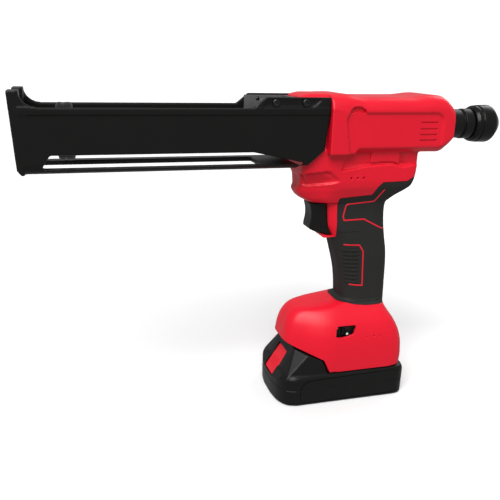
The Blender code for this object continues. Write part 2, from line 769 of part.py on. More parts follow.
def cartridge_tray():
    """Moulded cradle: U-shaped trough, front flange with a neck seat, ears screwed to the bracket."""
    name = "cartridge_tray"
    rear = BOX_FRONT_X - GAP
    made = prism(
        name, tray_section(TRAY_HALF_INNER, TRAY_HALF_OUTER, RIM_Z), "YZ", FLANGE_BACK_X - 0.001, rear,
        black_plastic(),
    )
    flange_outline = (
        (FLANGE_BACK_X + 0.0004, TRAY_BOTTOM),
        (FLANGE_FRONT_X + FLANGE_RAKE + 0.0030, TRAY_BOTTOM),
        (FLANGE_FRONT_X + FLANGE_RAKE, TRAY_BOTTOM + 0.0040),
        (FLANGE_FRONT_X, AXIS_Z + FLANGE_RISE),
        (FLANGE_BACK_X + 0.0004, AXIS_Z + FLANGE_RISE),
    )
    flange = prism(name + "_flange", flange_outline, "XZ", -TRAY_HALF_OUTER, TRAY_HALF_OUTER)
    join(made, flange)
    for side in (-1, 1):
        low, high = sorted((side * (TRAY_HALF_OUTER - 0.0010), side * (TRAY_HALF_OUTER + RIM_PROUD)))
        band_outline = ((FLANGE_BACK_X - 0.001, RIM_Z - RIM_BAND), (rear, RIM_Z - RIM_BAND),
                        (rear, RIM_Z), (FLANGE_BACK_X - 0.001, RIM_Z))
        low_wall, high_wall = sorted((side * TRAY_HALF_INNER, side * TRAY_HALF_OUTER))
        join(
            made,
            prism(f"{name}_wall_{side}", tray_wall_outline(), "XZ", low_wall, high_wall),
            prism(f"{name}_band_{side}", band_outline, "XZ", low, high),
        )
    return cut(made, *tray_cuts(name))


def tray_cuts(name):
    slot_low = TRAY_BOTTOM + TRAY_FLOOR
    slot_high = slot_low + SLOT_HEIGHT
    slot_front = FLANGE_BACK_X + SLOT_END
    slot_rear = BOX_FRONT_X - 0.0150
    slot = (
        (slot_front, slot_low),
        (slot_rear, slot_low),
        (slot_rear - 0.0500, slot_high),
        (slot_front + 0.0070, slot_high),
    )
    notch = [(NOTCH_RADIUS, AXIS_Z + 0.06), (-NOTCH_RADIUS, AXIS_Z + 0.06)] + [
        (-NOTCH_RADIUS * math.cos(step / 8 * math.pi), AXIS_Z - NOTCH_RADIUS * math.sin(step / 8 * math.pi))
        for step in range(9)
    ]
    wide = TRAY_HALF_OUTER + 0.01
    lower_rear = (
        (BOX_FRONT_X - 0.0036, AXIS_Z - 0.0140),
        (BOX_FRONT_X - 0.0165, TRAY_BOTTOM + 0.0045),
        (BOX_FRONT_X - 0.0190, TRAY_BOTTOM - 0.01),
        (BOX_FRONT_X + 0.01, TRAY_BOTTOM - 0.01),
        (BOX_FRONT_X + 0.01, AXIS_Z + 0.0100),
        (BOX_FRONT_X - 0.0010, AXIS_Z + 0.0100),
    )
    cutters = [
        prism(name + "_slots", slot, "XZ", -wide, wide),
        prism(name + "_neck_seat", notch, "YZ", FLANGE_FRONT_X - 0.01, FLANGE_BACK_X + 0.0006),
        box(
            name + "_floor_opening",
            (slot_front, -FLOOR_OPENING_HALF, TRAY_BOTTOM - 0.01),
            (BRACKET_FRONT_X - 0.0300, FLOOR_OPENING_HALF, slot_low + 0.0040),
        ),
        prism(name + "_rear_sweep", lower_rear, "XZ", -wide, wide),
        box(
            name + "_nose_space",
            (BRACKET_FRONT_X - GAP, -TRAY_HALF_INNER, TRAY_BOTTOM - 0.01),
            (BOX_FRONT_X + 0.01, TRAY_HALF_INNER, slot_low + 0.0200),
        ),
    ]
    ear_front = BOX_FRONT_X - GAP - EAR_LENGTH
    for side in (-1, 1):
        low, high = sorted((side * (TRAY_HALF_OUTER - EAR_POCKET_DEPTH), side * wide))
        pocket = (
            (ear_front - 0.0030, RIM_Z + 0.0004),
            (ear_front + 0.0395, RIM_Z + 0.0004),
            (ear_front + 0.0440, RIM_Z + 0.0026),
            (ear_front + 0.0490, AXIS_Z + EAR_RISE - 0.0010),
            (ear_front + 0.0020, AXIS_Z + EAR_RISE - 0.0010),
        )
        cutters.append(prism(f"{name}_pocket_{side}", pocket, "XZ", low, high))
        low, high = sorted((side * (TRAY_HALF_INNER - 0.002), side * (bracket_outer() + GAP)))
        cutters.append(box(
            f"{name}_arm_bed_{side}",
            (BRACKET_ARM_FRONT_X - GAP, low, BRACKET_LOW_Z - GAP),
            (BOX_FRONT_X + 0.01, high, AXIS_Z + 0.06),
        ))
        for x in TRAY_SCREW_X:
            low, high = sorted((side * 0.020, side * 0.040))
            cutters.append(rod_between(
                f"{name}_hole_{side}_{x:.3f}", "Y", (x, TRAY_SCREW_Z), SCREW_RADIUS + GAP, low, high, sides=12
            ))
    return cutters


def bracket_outer():
    return TRAY_HALF_INNER + 0.0007


BRACKET_ARM_FRONT_X = BOX_FRONT_X - 0.0600
BRACKET_LOW_Z = AXIS_Z + 0.0155
TRAY_SCREW_X = (BOX_FRONT_X - 0.0475, BOX_FRONT_X - 0.0220)
TRAY_SCREW_Z = RIM_Z + 0.0041


def tray_bracket():
    """Steel bracket on the housing's nose: a plate round the rod and two arms inside the ears."""
    name = "tray_bracket"
    outer = bracket_outer()
    inner = outer - BRACKET_THICKNESS
    top = AXIS_Z + 0.0275
    narrow = TRAY_HALF_INNER - GAP
    plate_outline = (
        (-narrow, BRACKET_LOW_Z), (-narrow, AXIS_Z - 0.0150), (narrow, AXIS_Z - 0.0150),
        (narrow, BRACKET_LOW_Z), (outer, BRACKET_LOW_Z), (outer, top), (-outer, top), (-outer, BRACKET_LOW_Z),
    )
    made = prism(
        name, plate_outline, "YZ", BRACKET_FRONT_X, BRACKET_FRONT_X + BRACKET_PLATE, steel()
    )
    for side in (-1, 1):
        low, high = sorted((side * inner, side * outer))
        join(made, box(
            f"{name}_arm_{side}", (BRACKET_ARM_FRONT_X, low, BRACKET_LOW_Z),
            (BOX_FRONT_X - 0.0012, high, top),
        ))
    cutters = [rod_between(
        name + "_bore", "X", (0.0, ROD_Z), BUSH_RADIUS + GAP, BRACKET_FRONT_X - 0.01,
        BRACKET_FRONT_X + 0.01, sides=24,
    )]
    for side in (-1, 1):
        for x in TRAY_SCREW_X:
            low, high = sorted((side * 0.020, side * 0.040))
            cutters.append(rod_between(
                f"{name}_hole_{side}_{x:.3f}", "Y", (x, TRAY_SCREW_Z), SCREW_RADIUS + GAP, low, high, sides=12
            ))
    return cut(made, *cutters)


def tray_screw(number, side, x):
    seat = TRAY_HALF_OUTER - EAR_POCKET_DEPTH + GAP
    low, high = sorted((side * (bracket_outer() - 0.0020), side * (seat + 0.0003)))
    made = rod_between(
        f"tray_screw_{number}", "Y", (x, TRAY_SCREW_Z), SCREW_RADIUS, low, high, bright_steel(), sides=12
    )
    low, high = sorted((side * seat, side * (seat + 0.0013)))
    return join(made, rod_between(
        f"tray_screw_{number}_head", "Y", (x, TRAY_SCREW_Z), TRAY_SCREW_HEAD_RADIUS, low, high, sides=16
    ))


# ---------------------------------------------------------------- push rod
def rack_outline():
    """Side view of the rod: a tooth gap lies over the pinion at rest and at every whole pitch."""
    pitch = math.pi * RACK_MODULE
    low_x, high_x = PISTON_BACK_X - SOCKET_DEPTH, KNOB_REAR_X - KNOB_WALL
    top = ROD_Z + ROD_HEIGHT / 2
    root = RACK_PITCH_Z + 1.20 * RACK_MODULE
    gaps = int(ROD_TRAVEL / pitch) + 6
    outline = [(high_x, top), (low_x, top), (low_x, RACK_TIP_Z)]
    for number in range(gaps):
        middle = OUTPUT_X + (number - gaps + 3) * pitch
        outline += [
            (middle - 0.42 * pitch, RACK_TIP_Z),
            (middle - 0.16 * pitch, root),
            (middle + 0.16 * pitch, root),
            (middle + 0.42 * pitch, RACK_TIP_Z),
        ]
    outline.append((high_x, RACK_TIP_Z))
    return outline


def rod_pieces():
    prism("push_rod", rack_outline(), "XZ", -ROD_WIDTH / 2, ROD_WIDTH / 2, bright_steel())
    piston = turned_x(
        "piston_plate",
        (
            (PISTON_BACK_X, PISTON_RADIUS - 0.0020),
            (PISTON_BACK_X - 0.0015, PISTON_RADIUS),
            (PISTON_FRONT_X + 0.0015, PISTON_RADIUS),
            (PISTON_FRONT_X, PISTON_RADIUS - 0.0015),
        ),
        (0.0, AXIS_Z), black_plastic(), sides=40,
    )
    socket = (ROD_WIDTH / 2 + GAP, ROD_HEIGHT / 2 + GAP)
    cut(
        piston,
        box(
            "piston_socket", (PISTON_BACK_X - SOCKET_DEPTH - GAP, -socket[0], ROD_Z - socket[1]),
            (PISTON_BACK_X + 0.01, socket[0], ROD_Z + socket[1]),
        ),
        rod_between(
            "piston_screw_hole", "X", (0.0, ROD_Z), BOLT_RADIUS + GAP, PISTON_FRONT_X - CLEAR_OF,
            PISTON_BACK_X - 0.0060, sides=16,
        ),
        rod_between(
            "piston_screw_sink", "X", (0.0, ROD_Z), BOLT_HEAD_RADIUS + GAP, PISTON_FRONT_X - CLEAR_OF,
            PISTON_FRONT_X + BOLT_SINK, sides=16,
        ),
    )
    head_x = PISTON_FRONT_X + BOLT_SINK - GAP
    screw = rod_between(
        "piston_screw", "X", (0.0, ROD_Z), BOLT_HEAD_RADIUS,
        head_x - BOLT_HEAD_DEPTH, head_x, steel(), sides=16
    )
    join(screw, rod_between(
        "piston_screw_shank", "X", (0.0, ROD_Z), BOLT_RADIUS,
        head_x - 0.0005, PISTON_BACK_X - SOCKET_DEPTH - GAP, sides=16
    ))
    knob = turned_x(
        "pull_knob",
        (
            (KNOB_FRONT_X, KNOB_RADIUS - 0.0022),
            (KNOB_FRONT_X + 0.0030, KNOB_RADIUS - 0.0002),
            (KNOB_REAR_X - 0.0075, KNOB_RADIUS),
            (KNOB_REAR_X - 0.0010, KNOB_RADIUS - 0.0042),
            (KNOB_REAR_X, KNOB_RADIUS - 0.0060),
        ),
        (0.0, ROD_Z), black_plastic(), sides=36,
    )
    cut(knob, box(
        "knob_socket", (KNOB_FRONT_X - 0.01, -socket[0], ROD_Z - socket[1]),
        (KNOB_REAR_X - KNOB_WALL + GAP, socket[0], ROD_Z + socket[1]),
    ))


def rod_guides():
    """The front bush in the bracket and the sleeve behind the housing, both bored square."""
    clear = (ROD_WIDTH / 2 + ROD_CLEARANCE, ROD_HEIGHT / 2 + ROD_CLEARANCE)
    bush = turned_x(
        "front_rod_bush",
        (
            (BRACKET_FRONT_X - GAP - BUSH_FLANGE, BUSH_RADIUS + 0.0020),
            (BRACKET_FRONT_X - GAP, BUSH_RADIUS + 0.0020),
            (BRACKET_FRONT_X - GAP + STEP, BUSH_RADIUS),
            (NOSE_FRONT_X + HOUSING_WALL + 0.0020, BUSH_RADIUS),
        ),
        (0.0, ROD_Z), black_plastic(), sides=24,
    )
    bore = box(
        "bush_bore", (NOSE_FRONT_X - 0.02, -clear[0], ROD_Z - clear[1]),
        (NOSE_FRONT_X + 0.02, clear[0], ROD_Z + clear[1]),
    )
    cut(bush, bore)
    inner_wall = BOX_REAR_X - HOUSING_WALL
    sleeve = turned_x(
        "rear_guide_sleeve",
        (
            (inner_wall - GAP - 0.0030, SLEEVE_RADIUS - 0.0010),
            (inner_wall - GAP, SLEEVE_RADIUS - 0.0010),
            (inner_wall - GAP + STEP, BUSH_RADIUS),
            (BOX_REAR_X + GAP, BUSH_RADIUS),
            (BOX_REAR_X + GAP + STEP, SLEEVE_RADIUS),
            (SLEEVE_REAR_X - 0.0008, SLEEVE_RADIUS),
            (SLEEVE_REAR_X, SLEEVE_RADIUS - 0.0008),
        ),
        (0.0, ROD_Z), black_plastic(), sides=28,
    )
    cut(sleeve, box(
        "sleeve_bore", (BOX_REAR_X - 0.03, -clear[0], ROD_Z - clear[1]),
        (SLEEVE_REAR_X + 0.01, clear[0], ROD_Z + clear[1]),
    ))


# ---------------------------------------------------------------- gear train and motor
def gear_train():
    metal = steel()
    shaft_reach = PLATE_INNER_Y + BEARING_WIDTH
    quarter = math.pi / 2
    pinion = spur_gear(
        "rack_pinion_shaft", "Y", (OUTPUT_X, OUTPUT_Z), PINION_TEETH, RACK_MODULE,
        -PINION_FACE / 2, PINION_FACE / 2, metal, turn=quarter,
    )
    join(pinion, rod_between(
        "output_shaft_bar", "Y", (OUTPUT_X, OUTPUT_Z), GEAR_SHAFT_RADIUS, -shaft_reach, shaft_reach, sides=18
    ))
    gear_low, gear_high = ROD_WIDTH / 2 + GEAR_STANDOFF, ROD_WIDTH / 2 + GEAR_STANDOFF + GEAR_FACE
    output = spur_gear(
        "output_gear", "Y", (OUTPUT_X, OUTPUT_Z), OUTPUT_GEAR_TEETH, OUTPUT_MODULE, gear_low, gear_high,
        metal, turn=-quarter,
    )
    cut(output, rod_between(
        "output_gear_bore", "Y", (OUTPUT_X, OUTPUT_Z), GEAR_SHAFT_RADIUS + GAP, 0.0, 0.03, sides=18
    ))
    cross = rod_between(
        "cross_shaft", "Y", (OUTPUT_X, MOTOR_Z), GEAR_SHAFT_RADIUS, -shaft_reach, shaft_reach, metal, sides=18
    )
    join(cross, spur_gear(
        "cross_pinion", "Y", (OUTPUT_X, MOTOR_Z), CROSS_PINION_TEETH, OUTPUT_MODULE,
        gear_low, gear_high, None, turn=quarter + math.pi / CROSS_PINION_TEETH,
    ))
    apex = (OUTPUT_X, 0.0, MOTOR_Z)
    large = bevel_gear(
        "bevel_gear", "Y", apex, BEVEL_GEAR_TEETH, BEVEL_PINION_TEETH, -1, 0.0035, metal, turn=0.0
    )
    cut(large, rod_between(
        "bevel_bore", "Y", (OUTPUT_X, MOTOR_Z), GEAR_SHAFT_RADIUS + GAP, -0.03, 0.01, sides=18
    ))
    planet_carrier(apex, metal)
    planets(metal)


def planet_carrier(apex, metal):
    """Carrier disc with the planets' pins, and the small bevel pinion on its nose."""
    carrier = turned_x(
        "planet_carrier",
        (
            (BEVEL_PINION_X + CARRIER_DISC, CARRIER_NECK_RADIUS), (CARRIER_X, CARRIER_NECK_RADIUS),
            (CARRIER_X + STEP, PLANET_ORBIT + CARRIER_MARGIN),
            (CARRIER_X + CARRIER_THICKNESS, PLANET_ORBIT + CARRIER_MARGIN),
        ),
        (0.0, MOTOR_Z), metal, sides=24,
    )
    join(carrier, bevel_gear(
        "bevel_pinion", "X", apex, BEVEL_PINION_TEETH, BEVEL_GEAR_TEETH, 1, 0.0030, None,
        turn=math.pi + math.pi / BEVEL_PINION_TEETH,
    ))
    for number in range(3):
        y, z = planet_centre(number)
        join(carrier, rod_between(
            f"planet_pin_{number}", "X", (y, z), PLANET_PIN_RADIUS,
            CARRIER_X + 0.0020, PLANET_X + PLANET_LENGTH, sides=12
        ))


def planet_centre(number):
    angle = math.tau * number / 3
    return PLANET_ORBIT * math.cos(angle), MOTOR_Z + PLANET_ORBIT * math.sin(angle)


def planets(metal):
    """Three planets between the sun on the motor shaft and the fixed ring."""
    for number in range(3):
        angle = math.tau * number / 3
        # The sun has a tooth at angle 0, so each planet turns to meet it with a gap.
        turn = math.pi + angle + math.pi / PLANET_TEETH - sun_phase(angle)
        planet = spur_gear(
            f"planet_gear_{number + 1}", "X", planet_centre(number), PLANET_TEETH, PLANET_MODULE,
            PLANET_X, PLANET_X + PLANET_LENGTH, metal, turn=turn,
        )
        cut(planet, rod_between(
            f"planet_bore_{number}", "X", planet_centre(number), PLANET_PIN_RADIUS + RUNNING_GAP,
            PLANET_X - OVERLAP, PLANET_X + PLANET_LENGTH + OVERLAP, sides=12,
        ))
    ring = rod_between(
        "ring_gear", "X", (0.0, MOTOR_Z), RING_RADIUS, CARRIER_X - 0.0010, PLANET_X + PLANET_LENGTH + 0.0010,
        metal, sides=28,
    )
    hollow = prism(
        "ring_teeth",
        flat(tooth_outline(RING_TEETH, PLANET_MODULE, 0.60, 1.15, 0.85), (0.0, MOTOR_Z)),
        "YZ", CARRIER_X - 0.01, MOTOR_FRONT_X + 0.01,
    )
    cut(ring, hollow)


def sun_phase(angle):
    """How far a planet's mating gap is turned by the sun tooth that lies nearest this angle."""
    step = math.tau / SUN_TEETH
    offset = (angle + step / 2) % step - step / 2
    return -offset * SUN_TEETH / PLANET_TEETH


def motor():
    can = turned_x(
        "motor_can", ((MOTOR_FRONT_X, MOTOR_RADIUS), (MOTOR_BACK_X, MOTOR_RADIUS)), (0.0, MOTOR_Z),
        finish_of("zinc_plate", (0.50, 0.50, 0.48), 0.38, 1.0), sides=28,
    )
    cut(
        can,
        rod_between(
            "can_hollow", "X", (0.0, MOTOR_Z), MOTOR_RADIUS - CAN_WALL, MOTOR_FRONT_X + CAN_FACE,
            MOTOR_BACK_X + 0.01, sides=28,
        ),
        rod_between(
            "can_front_hole", "X", (0.0, MOTOR_Z), 0.0030,
            MOTOR_FRONT_X - 0.01, MOTOR_FRONT_X + 0.01, sides=18
        ),
    )
    cap = turned_x(
        "motor_end_cap",
        (
            (MOTOR_BACK_X - 0.0030, MOTOR_RADIUS - CAN_WALL - GAP),
            (MOTOR_BACK_X + GAP, MOTOR_RADIUS - CAN_WALL - GAP),
            (MOTOR_BACK_X + GAP + STEP, MOTOR_RADIUS), (MOTOR_BACK_X + 0.0035, MOTOR_RADIUS),
        ),
        (0.0, MOTOR_Z), black_plastic(), sides=28,
    )
    cut(cap, rod_between(
        "cap_hole", "X", (0.0, MOTOR_Z), 0.0018, MOTOR_BACK_X - 0.01, MOTOR_BACK_X + 0.01, sides=16
    ))
    rotor = turned_x(
        "motor_rotor",
        (
            (PLANET_X + PLANET_LENGTH - 0.0005, ROTOR_SHAFT_RADIUS),
            (MOTOR_FRONT_X + CORE_INSET, ROTOR_SHAFT_RADIUS),
            (MOTOR_FRONT_X + CORE_INSET + STEP, CORE_RADIUS), (MOTOR_BACK_X - CORE_REAR_INSET, CORE_RADIUS),
            (MOTOR_BACK_X - CORE_REAR_INSET + STEP, ROTOR_SHAFT_RADIUS),
            (MOTOR_BACK_X + SHAFT_TAIL, ROTOR_SHAFT_RADIUS),
        ),
        (0.0, MOTOR_Z), finish_of("copper", COPPER, 0.35, 1.0), sides=24,
    )
    join(rotor, spur_gear(
        "sun_pinion", "X", (0.0, MOTOR_Z), SUN_TEETH, PLANET_MODULE, PLANET_X, PLANET_X + PLANET_LENGTH, None
    ))


def gear_plates():
    """Two die-cast plates on the housing walls that carry the cross-wise shafts' bearings."""
    cast = finish_of("cast_alloy", (0.45, 0.45, 0.46), 0.55, 1.0)
    outline = [
        (OUTPUT_X - PLATE_HALF_LENGTH, MOTOR_Z - PLATE_BELOW),
        (OUTPUT_X + PLATE_HALF_LENGTH, MOTOR_Z - PLATE_BELOW),
        (OUTPUT_X + PLATE_HALF_LENGTH, OUTPUT_Z + PLATE_ABOVE),
        (OUTPUT_X - PLATE_HALF_LENGTH, OUTPUT_Z + PLATE_ABOVE),
    ]
    for side, word in ((-1, "left"), (1, "right")):
        low, high = sorted((side * PLATE_INNER_Y, side * (PLATE_INNER_Y + PLATE_THICKNESS)))
        plate = prism(f"gear_plate_{word}", outline, "XZ", low, high, cast)
        for z, shaft in ((OUTPUT_Z, "output"), (MOTOR_Z, "cross")):
            low, high = sorted((side * (PLATE_INNER_Y - 0.01), side * (PLATE_INNER_Y + BEARING_WIDTH + GAP)))
            cut(plate, rod_between(
                f"{word}_{shaft}_seat", "Y", (OUTPUT_X, z), BEARING_RADIUS + GAP, low, high, sides=24
            ))
            low, high = sorted((side * PLATE_INNER_Y, side * (PLATE_INNER_Y + BEARING_WIDTH)))
            bearing = rod_between(
                f"{shaft}_bearing_{word}", "Y", (OUTPUT_X, z),
                BEARING_RADIUS, low, high, bright_steel(), sides=24
            )
            cut(bearing, rod_between(
                f"{shaft}_{word}_bore", "Y", (OUTPUT_X, z), GEAR_SHAFT_RADIUS + RUNNING_GAP,
                low - 0.001, high + 0.001, sides=18,
            ))


# ---------------------------------------------------------------- trigger, switch and foot switch
def helix_spring(name, start, direction, radius, wire, length, turns, material):
    """A round-wire compression spring along a unit direction."""
    axis = Vector(direction)
    across = axis.orthogonal().normalized()
    third = axis.cross(across)
    steps, sides = turns * 8, 5
    rings = []
    for step in range(steps + 1):
        angle = math.tau * turns * step / steps
        outward = across * math.cos(angle) + third * math.sin(angle)
        centre = Vector(start) + axis * (wire + (length - 2 * wire) * step / steps) + outward * radius
        around = [math.tau * k / sides for k in range(sides)]
        rings.append([centre + wire * (outward * math.cos(turn) + axis * math.sin(turn)) for turn in around])
    return loft(name, rings, material)


TRIGGER_BACK_X = -0.0125
SWITCH_FRONT_X = -0.0040
SWITCH_Z = 0.1720
SWITCH_LOW_Z = 0.1600
SWITCH_HALF_WIDTH = 0.0118
SWITCH_REAR_X = 0.0240


SWITCH_HIGH_Z = 0.1850
PLUNGER_RADIUS = 0.0022
PLUNGER_REACH = 0.0040
SWITCH_BORE_DEPTH = 0.0110
TRIGGER_SPRING_RADIUS = 0.0038
SPRING_WIRE_RADIUS = 0.0004
BOARD_X = (0.0110, 0.0260)
BOARD_Y = (-0.0011, 0.0005)
BOARD_LOW_Z = 0.1180
SLIDER_CAP = ((-0.0045, -0.0352, 0.0662), (-0.0005, -0.0315, 0.0738))
SLIDER_BASE = ((-0.0065, -0.0318, 0.0660), (0.0015, -0.0300, 0.0740))
SLIDER_SWITCH = ((-0.0145, -0.0292, 0.0630), (0.0095, -0.0225, 0.0750))


def trigger_group():
    outline = (
        (-0.0356, 0.1864), (-0.0340, 0.1800), (-0.0335, 0.1740), (-0.0346, 0.1680), (-0.0352, 0.1630),
        (-0.0290, 0.1596), (-0.0175, 0.1562), (TRIGGER_BACK_X, 0.1562), (TRIGGER_BACK_X, 0.1864),
    )
    made = prism("trigger", outline, "XZ", -TRIGGER_HALF_WIDTH, TRIGGER_HALF_WIDTH, black_plastic())
    join(made, rod_between(
        "trigger_plunger", "X", (0.0, SWITCH_Z), PLUNGER_RADIUS,
        TRIGGER_BACK_X - OVERLAP, SWITCH_FRONT_X + PLUNGER_REACH, sides=12
    ))
    switch = box(
        "trigger_switch", (SWITCH_FRONT_X, -SWITCH_HALF_WIDTH, SWITCH_LOW_Z),
        (SWITCH_REAR_X, SWITCH_HALF_WIDTH, SWITCH_HIGH_Z), black_plastic()
    )
    cut(switch, rod_between(
        "switch_bore", "X", (0.0, SWITCH_Z), PLUNGER_RADIUS + GAP,
        SWITCH_FRONT_X - CLEAR_OF, SWITCH_FRONT_X + SWITCH_BORE_DEPTH, sides=12
    ))
    helix_spring(
        "trigger_spring", (TRIGGER_BACK_X + GAP, 0.0, SWITCH_Z),
        (1, 0, 0), TRIGGER_SPRING_RADIUS, SPRING_WIRE_RADIUS,
        SWITCH_FRONT_X - TRIGGER_BACK_X - 2 * GAP, 4, steel(),
    )
    box(
        "control_board", (BOARD_X[0], BOARD_Y[0], BOARD_LOW_Z), (BOARD_X[1], BOARD_Y[1], SWITCH_LOW_Z - GAP),
        finish_of("board", BOARD, 0.5, 0.0),
    )


def foot_pieces():
    """The slide switch in the left side of the foot and the contact block over the battery."""
    slider = box("mode_slider", *SLIDER_CAP, black_plastic())
    join(slider, box("mode_slider_base", *SLIDER_BASE))
    box("mode_switch_body", *SLIDER_SWITCH, black_plastic())
    box(
        "tool_contact_block", (CONTACT_X[0], -CONTACT_HALF, BATTERY_DECK + RAIL_HEIGHT + 0.0004),
        (CONTACT_X[1], CONTACT_HALF, CONTACT_TOP_Z), black_plastic(),
    )


# ---------------------------------------------------------------- battery
def battery_outline(inset):
    """Plan view: square-cornered at the back, bulging at the front."""
    half = BATTERY_HALF_WIDTH - inset
    rear, front = BATTERY_REAR_X - inset, BATTERY_FRONT_X + inset
    corner = 0.0150 - inset
    points = []
    for step in range(5):
        angle = step / 4 * math.pi / 2
        points.append((rear - corner + corner * math.sin(angle), half - corner + corner * math.cos(angle)))
    right_side = [(front + back, half - narrower) for back, narrower in FRONT_CORNER]
    full = right_side[::-1] + points
    return full + [(x, -y) for x, y in reversed(full)]


def battery_case(name, low, high, bottom_chamfer):
    rings = []
    for z, inset in ((low, bottom_chamfer), (low + max(bottom_chamfer, 0.0005), 0.0), (high, 0.0)):
        rings.append([(x, y, z) for x, y in battery_outline(inset)])
    return loft(name, rings, black_plastic())


def battery_pieces():
    lower = battery_case("battery_lower_case", 0.0, CASE_SPLIT, CASE_BOTTOM_CHAMFER)
    inside = battery_outline(CASE_WALL + CELL_CLEARANCE)
    cut(lower, loft("lower_case_hollow", [
        [(x, y, z) for x, y in inside] for z in (CASE_WALL, CASE_SPLIT + CLEAR_OF)
    ]))
    upper = battery_case("battery_upper_case", CASE_SPLIT + GAP, BATTERY_DECK, 0.0)
    join(upper, battery_hood("battery_hood"), battery_rail("battery_rail"))
    cut(upper, loft("upper_case_hollow", [
        [(max(x, HOLLOW_FRONT_X), y, z) for x, y in inside]
        for z in (CASE_SPLIT - CLEAR_OF, BATTERY_DECK - CASE_WALL)
    ]))
    cut(upper, release_pocket("release_pocket"))
    cell_finish = finish_of("cell_wrap", CELL_BLUE, 0.4, 0.0)
    for number in range(CELL_COUNT):
        x = (number - (CELL_COUNT - 1) / 2) * CELL_PITCH + CELLS_REARWARD
        rod_between(
            f"battery_cell_{number + 1}", "Y", (x, CELL_Z), CELL_RADIUS, -CELL_LENGTH / 2, CELL_LENGTH / 2,
            cell_finish, sides=20,
        )
    board_low = CELL_Z + CELL_RADIUS + GAP
    box(
        "battery_board",
        (PACK_BOARD_X[0], -PACK_BOARD_HALF, board_low),
        (PACK_BOARD_X[1], PACK_BOARD_HALF, board_low + PACK_BOARD_THICKNESS),
        finish_of("board", BOARD, 0.5, 0.0),
    )
    release_button_group()


def battery_hood(name):
    """The raised front of the pack, under the foot's stepped lower edge."""
    line = hood_line(0.0006)
    front = BATTERY_FRONT_X
    points = []
    for side in (-1, 1):
        points += [
            (line[0][0], side * 0.0360, BATTERY_DECK - 0.0040),
            (line[1][0], side * 0.0350, line[1][1] - 0.0004),
            (line[2][0], side * 0.0330, line[2][1] - 0.0004), (-0.0480, side * 0.0210, 0.0515),
            (front + 0.0015, side * 0.0150, 0.0190), (front + 0.0060, side * 0.0300, 0.0190),
            (-0.0520, side * 0.0360, 0.0190), (line[0][0], side * 0.0380, CASE_SPLIT + 0.0010),
            (front + 0.0060, side * 0.0240, CASE_SPLIT + 0.0010),
        ]
    return hull(name, points)


def battery_rail(name):
    """The block with side grooves that slides into the foot."""
    rail = box(
        name, (RAIL_X[0], -RAIL_HALF_WIDTH, BATTERY_DECK - OVERLAP),
        (RAIL_X[1], RAIL_HALF_WIDTH, BATTERY_DECK + RAIL_HEIGHT)
    )
    for side in (-1, 1):
        low, high = sorted((side * (RAIL_HALF_WIDTH - RAIL_GROOVE_DEPTH), side * (RAIL_HALF_WIDTH + OVERLAP)))
        cut(rail, box(
            f"{name}_groove_{side}", (RAIL_GROOVE_X[0], low, BATTERY_DECK + RAIL_GROOVE_Z[0]),
            (RAIL_GROOVE_X[1], high, BATTERY_DECK + RAIL_GROOVE_Z[1])
        ))
    return rail


BUTTON_CENTRE = (-0.0570, 0.0, 0.0318)
BUTTON_TILT = math.radians(56)
BUTTON_HALF_WIDTH = 0.0105
BUTTON_HALF_HEIGHT = 0.0115
BUTTON_DEPTH, BUTTON_PROUD = 0.0035, 0.0006
BUTTON_CLEARANCE = 0.0005
BUTTON_SPRING_RADIUS = 0.0030
POCKET_DEPTH = 0.0080


def tilted_box(name, low, high, material=None):
    """A box in the hood's sloping face: x runs up the slope, z out of the face."""
    corners = [(low[i], high[i]) for i in range(3)]
    turn = Matrix.Rotation(-BUTTON_TILT, 3, "Y")
    rings = []
    for w in corners[2]:
        ring = [(corners[0][0], corners[1][0]), (corners[0][1], corners[1][0]),
                (corners[0][1], corners[1][1]), (corners[0][0], corners[1][1])]
        rings.append([turn @ Vector((u, v, w)) + Vector(BUTTON_CENTRE) for u, v in ring])
    return loft(name, rings, material)


def release_pocket(name):
    return tilted_box(
        name, (-BUTTON_HALF_HEIGHT - BUTTON_CLEARANCE, -BUTTON_HALF_WIDTH - BUTTON_CLEARANCE, -POCKET_DEPTH),
        (BUTTON_HALF_HEIGHT + BUTTON_CLEARANCE, BUTTON_HALF_WIDTH + BUTTON_CLEARANCE, 0.0300),
    )


def release_button_group():
    tilted_box(
        "release_button", (-BUTTON_HALF_HEIGHT, -BUTTON_HALF_WIDTH, -BUTTON_DEPTH),
        (BUTTON_HALF_HEIGHT, BUTTON_HALF_WIDTH, BUTTON_PROUD), red_plastic(),
    )
    outward = Matrix.Rotation(-BUTTON_TILT, 3, "Y") @ Vector((0, 0, 1))
    start = Vector(BUTTON_CENTRE) - outward * (POCKET_DEPTH - GAP)
    helix_spring(
        "release_spring", start, outward, BUTTON_SPRING_RADIUS, SPRING_WIRE_RADIUS,
        POCKET_DEPTH - BUTTON_DEPTH - 2 * GAP, 3, steel()
    )


def joint_origins():
    """Each moving piece's origin: a point on the axis it turns about or slides along."""
    rod = ["push_rod", "piston_plate", "piston_screw", "pull_knob"]
    origins = {name: (OUTPUT_X, 0.0, ROD_Z) for name in rod}
    for name in ("rack_pinion_shaft", "output_gear"):
        origins[name] = (OUTPUT_X, 0.0, OUTPUT_Z)
    for name in ("cross_shaft", "bevel_gear"):
        origins[name] = (OUTPUT_X, 0.0, MOTOR_Z)
    for number in range(3):
        origins[f"planet_gear_{number + 1}"] = (PLANET_X, *planet_centre(number))
    origins["planet_carrier"] = (CARRIER_X, 0.0, MOTOR_Z)
    origins["motor_rotor"] = (MOTOR_FRONT_X, 0.0, MOTOR_Z)
    origins["trigger"] = (TRIGGER_BACK_X, 0.0, SWITCH_Z)
    origins["release_button"] = BUTTON_CENTRE
    return origins


def set_origins():
    for name, point in joint_origins().items():
        obj = bpy.data.objects[name]
        obj.data.transform(Matrix.Translation(-Vector(point)))
        obj.location = point


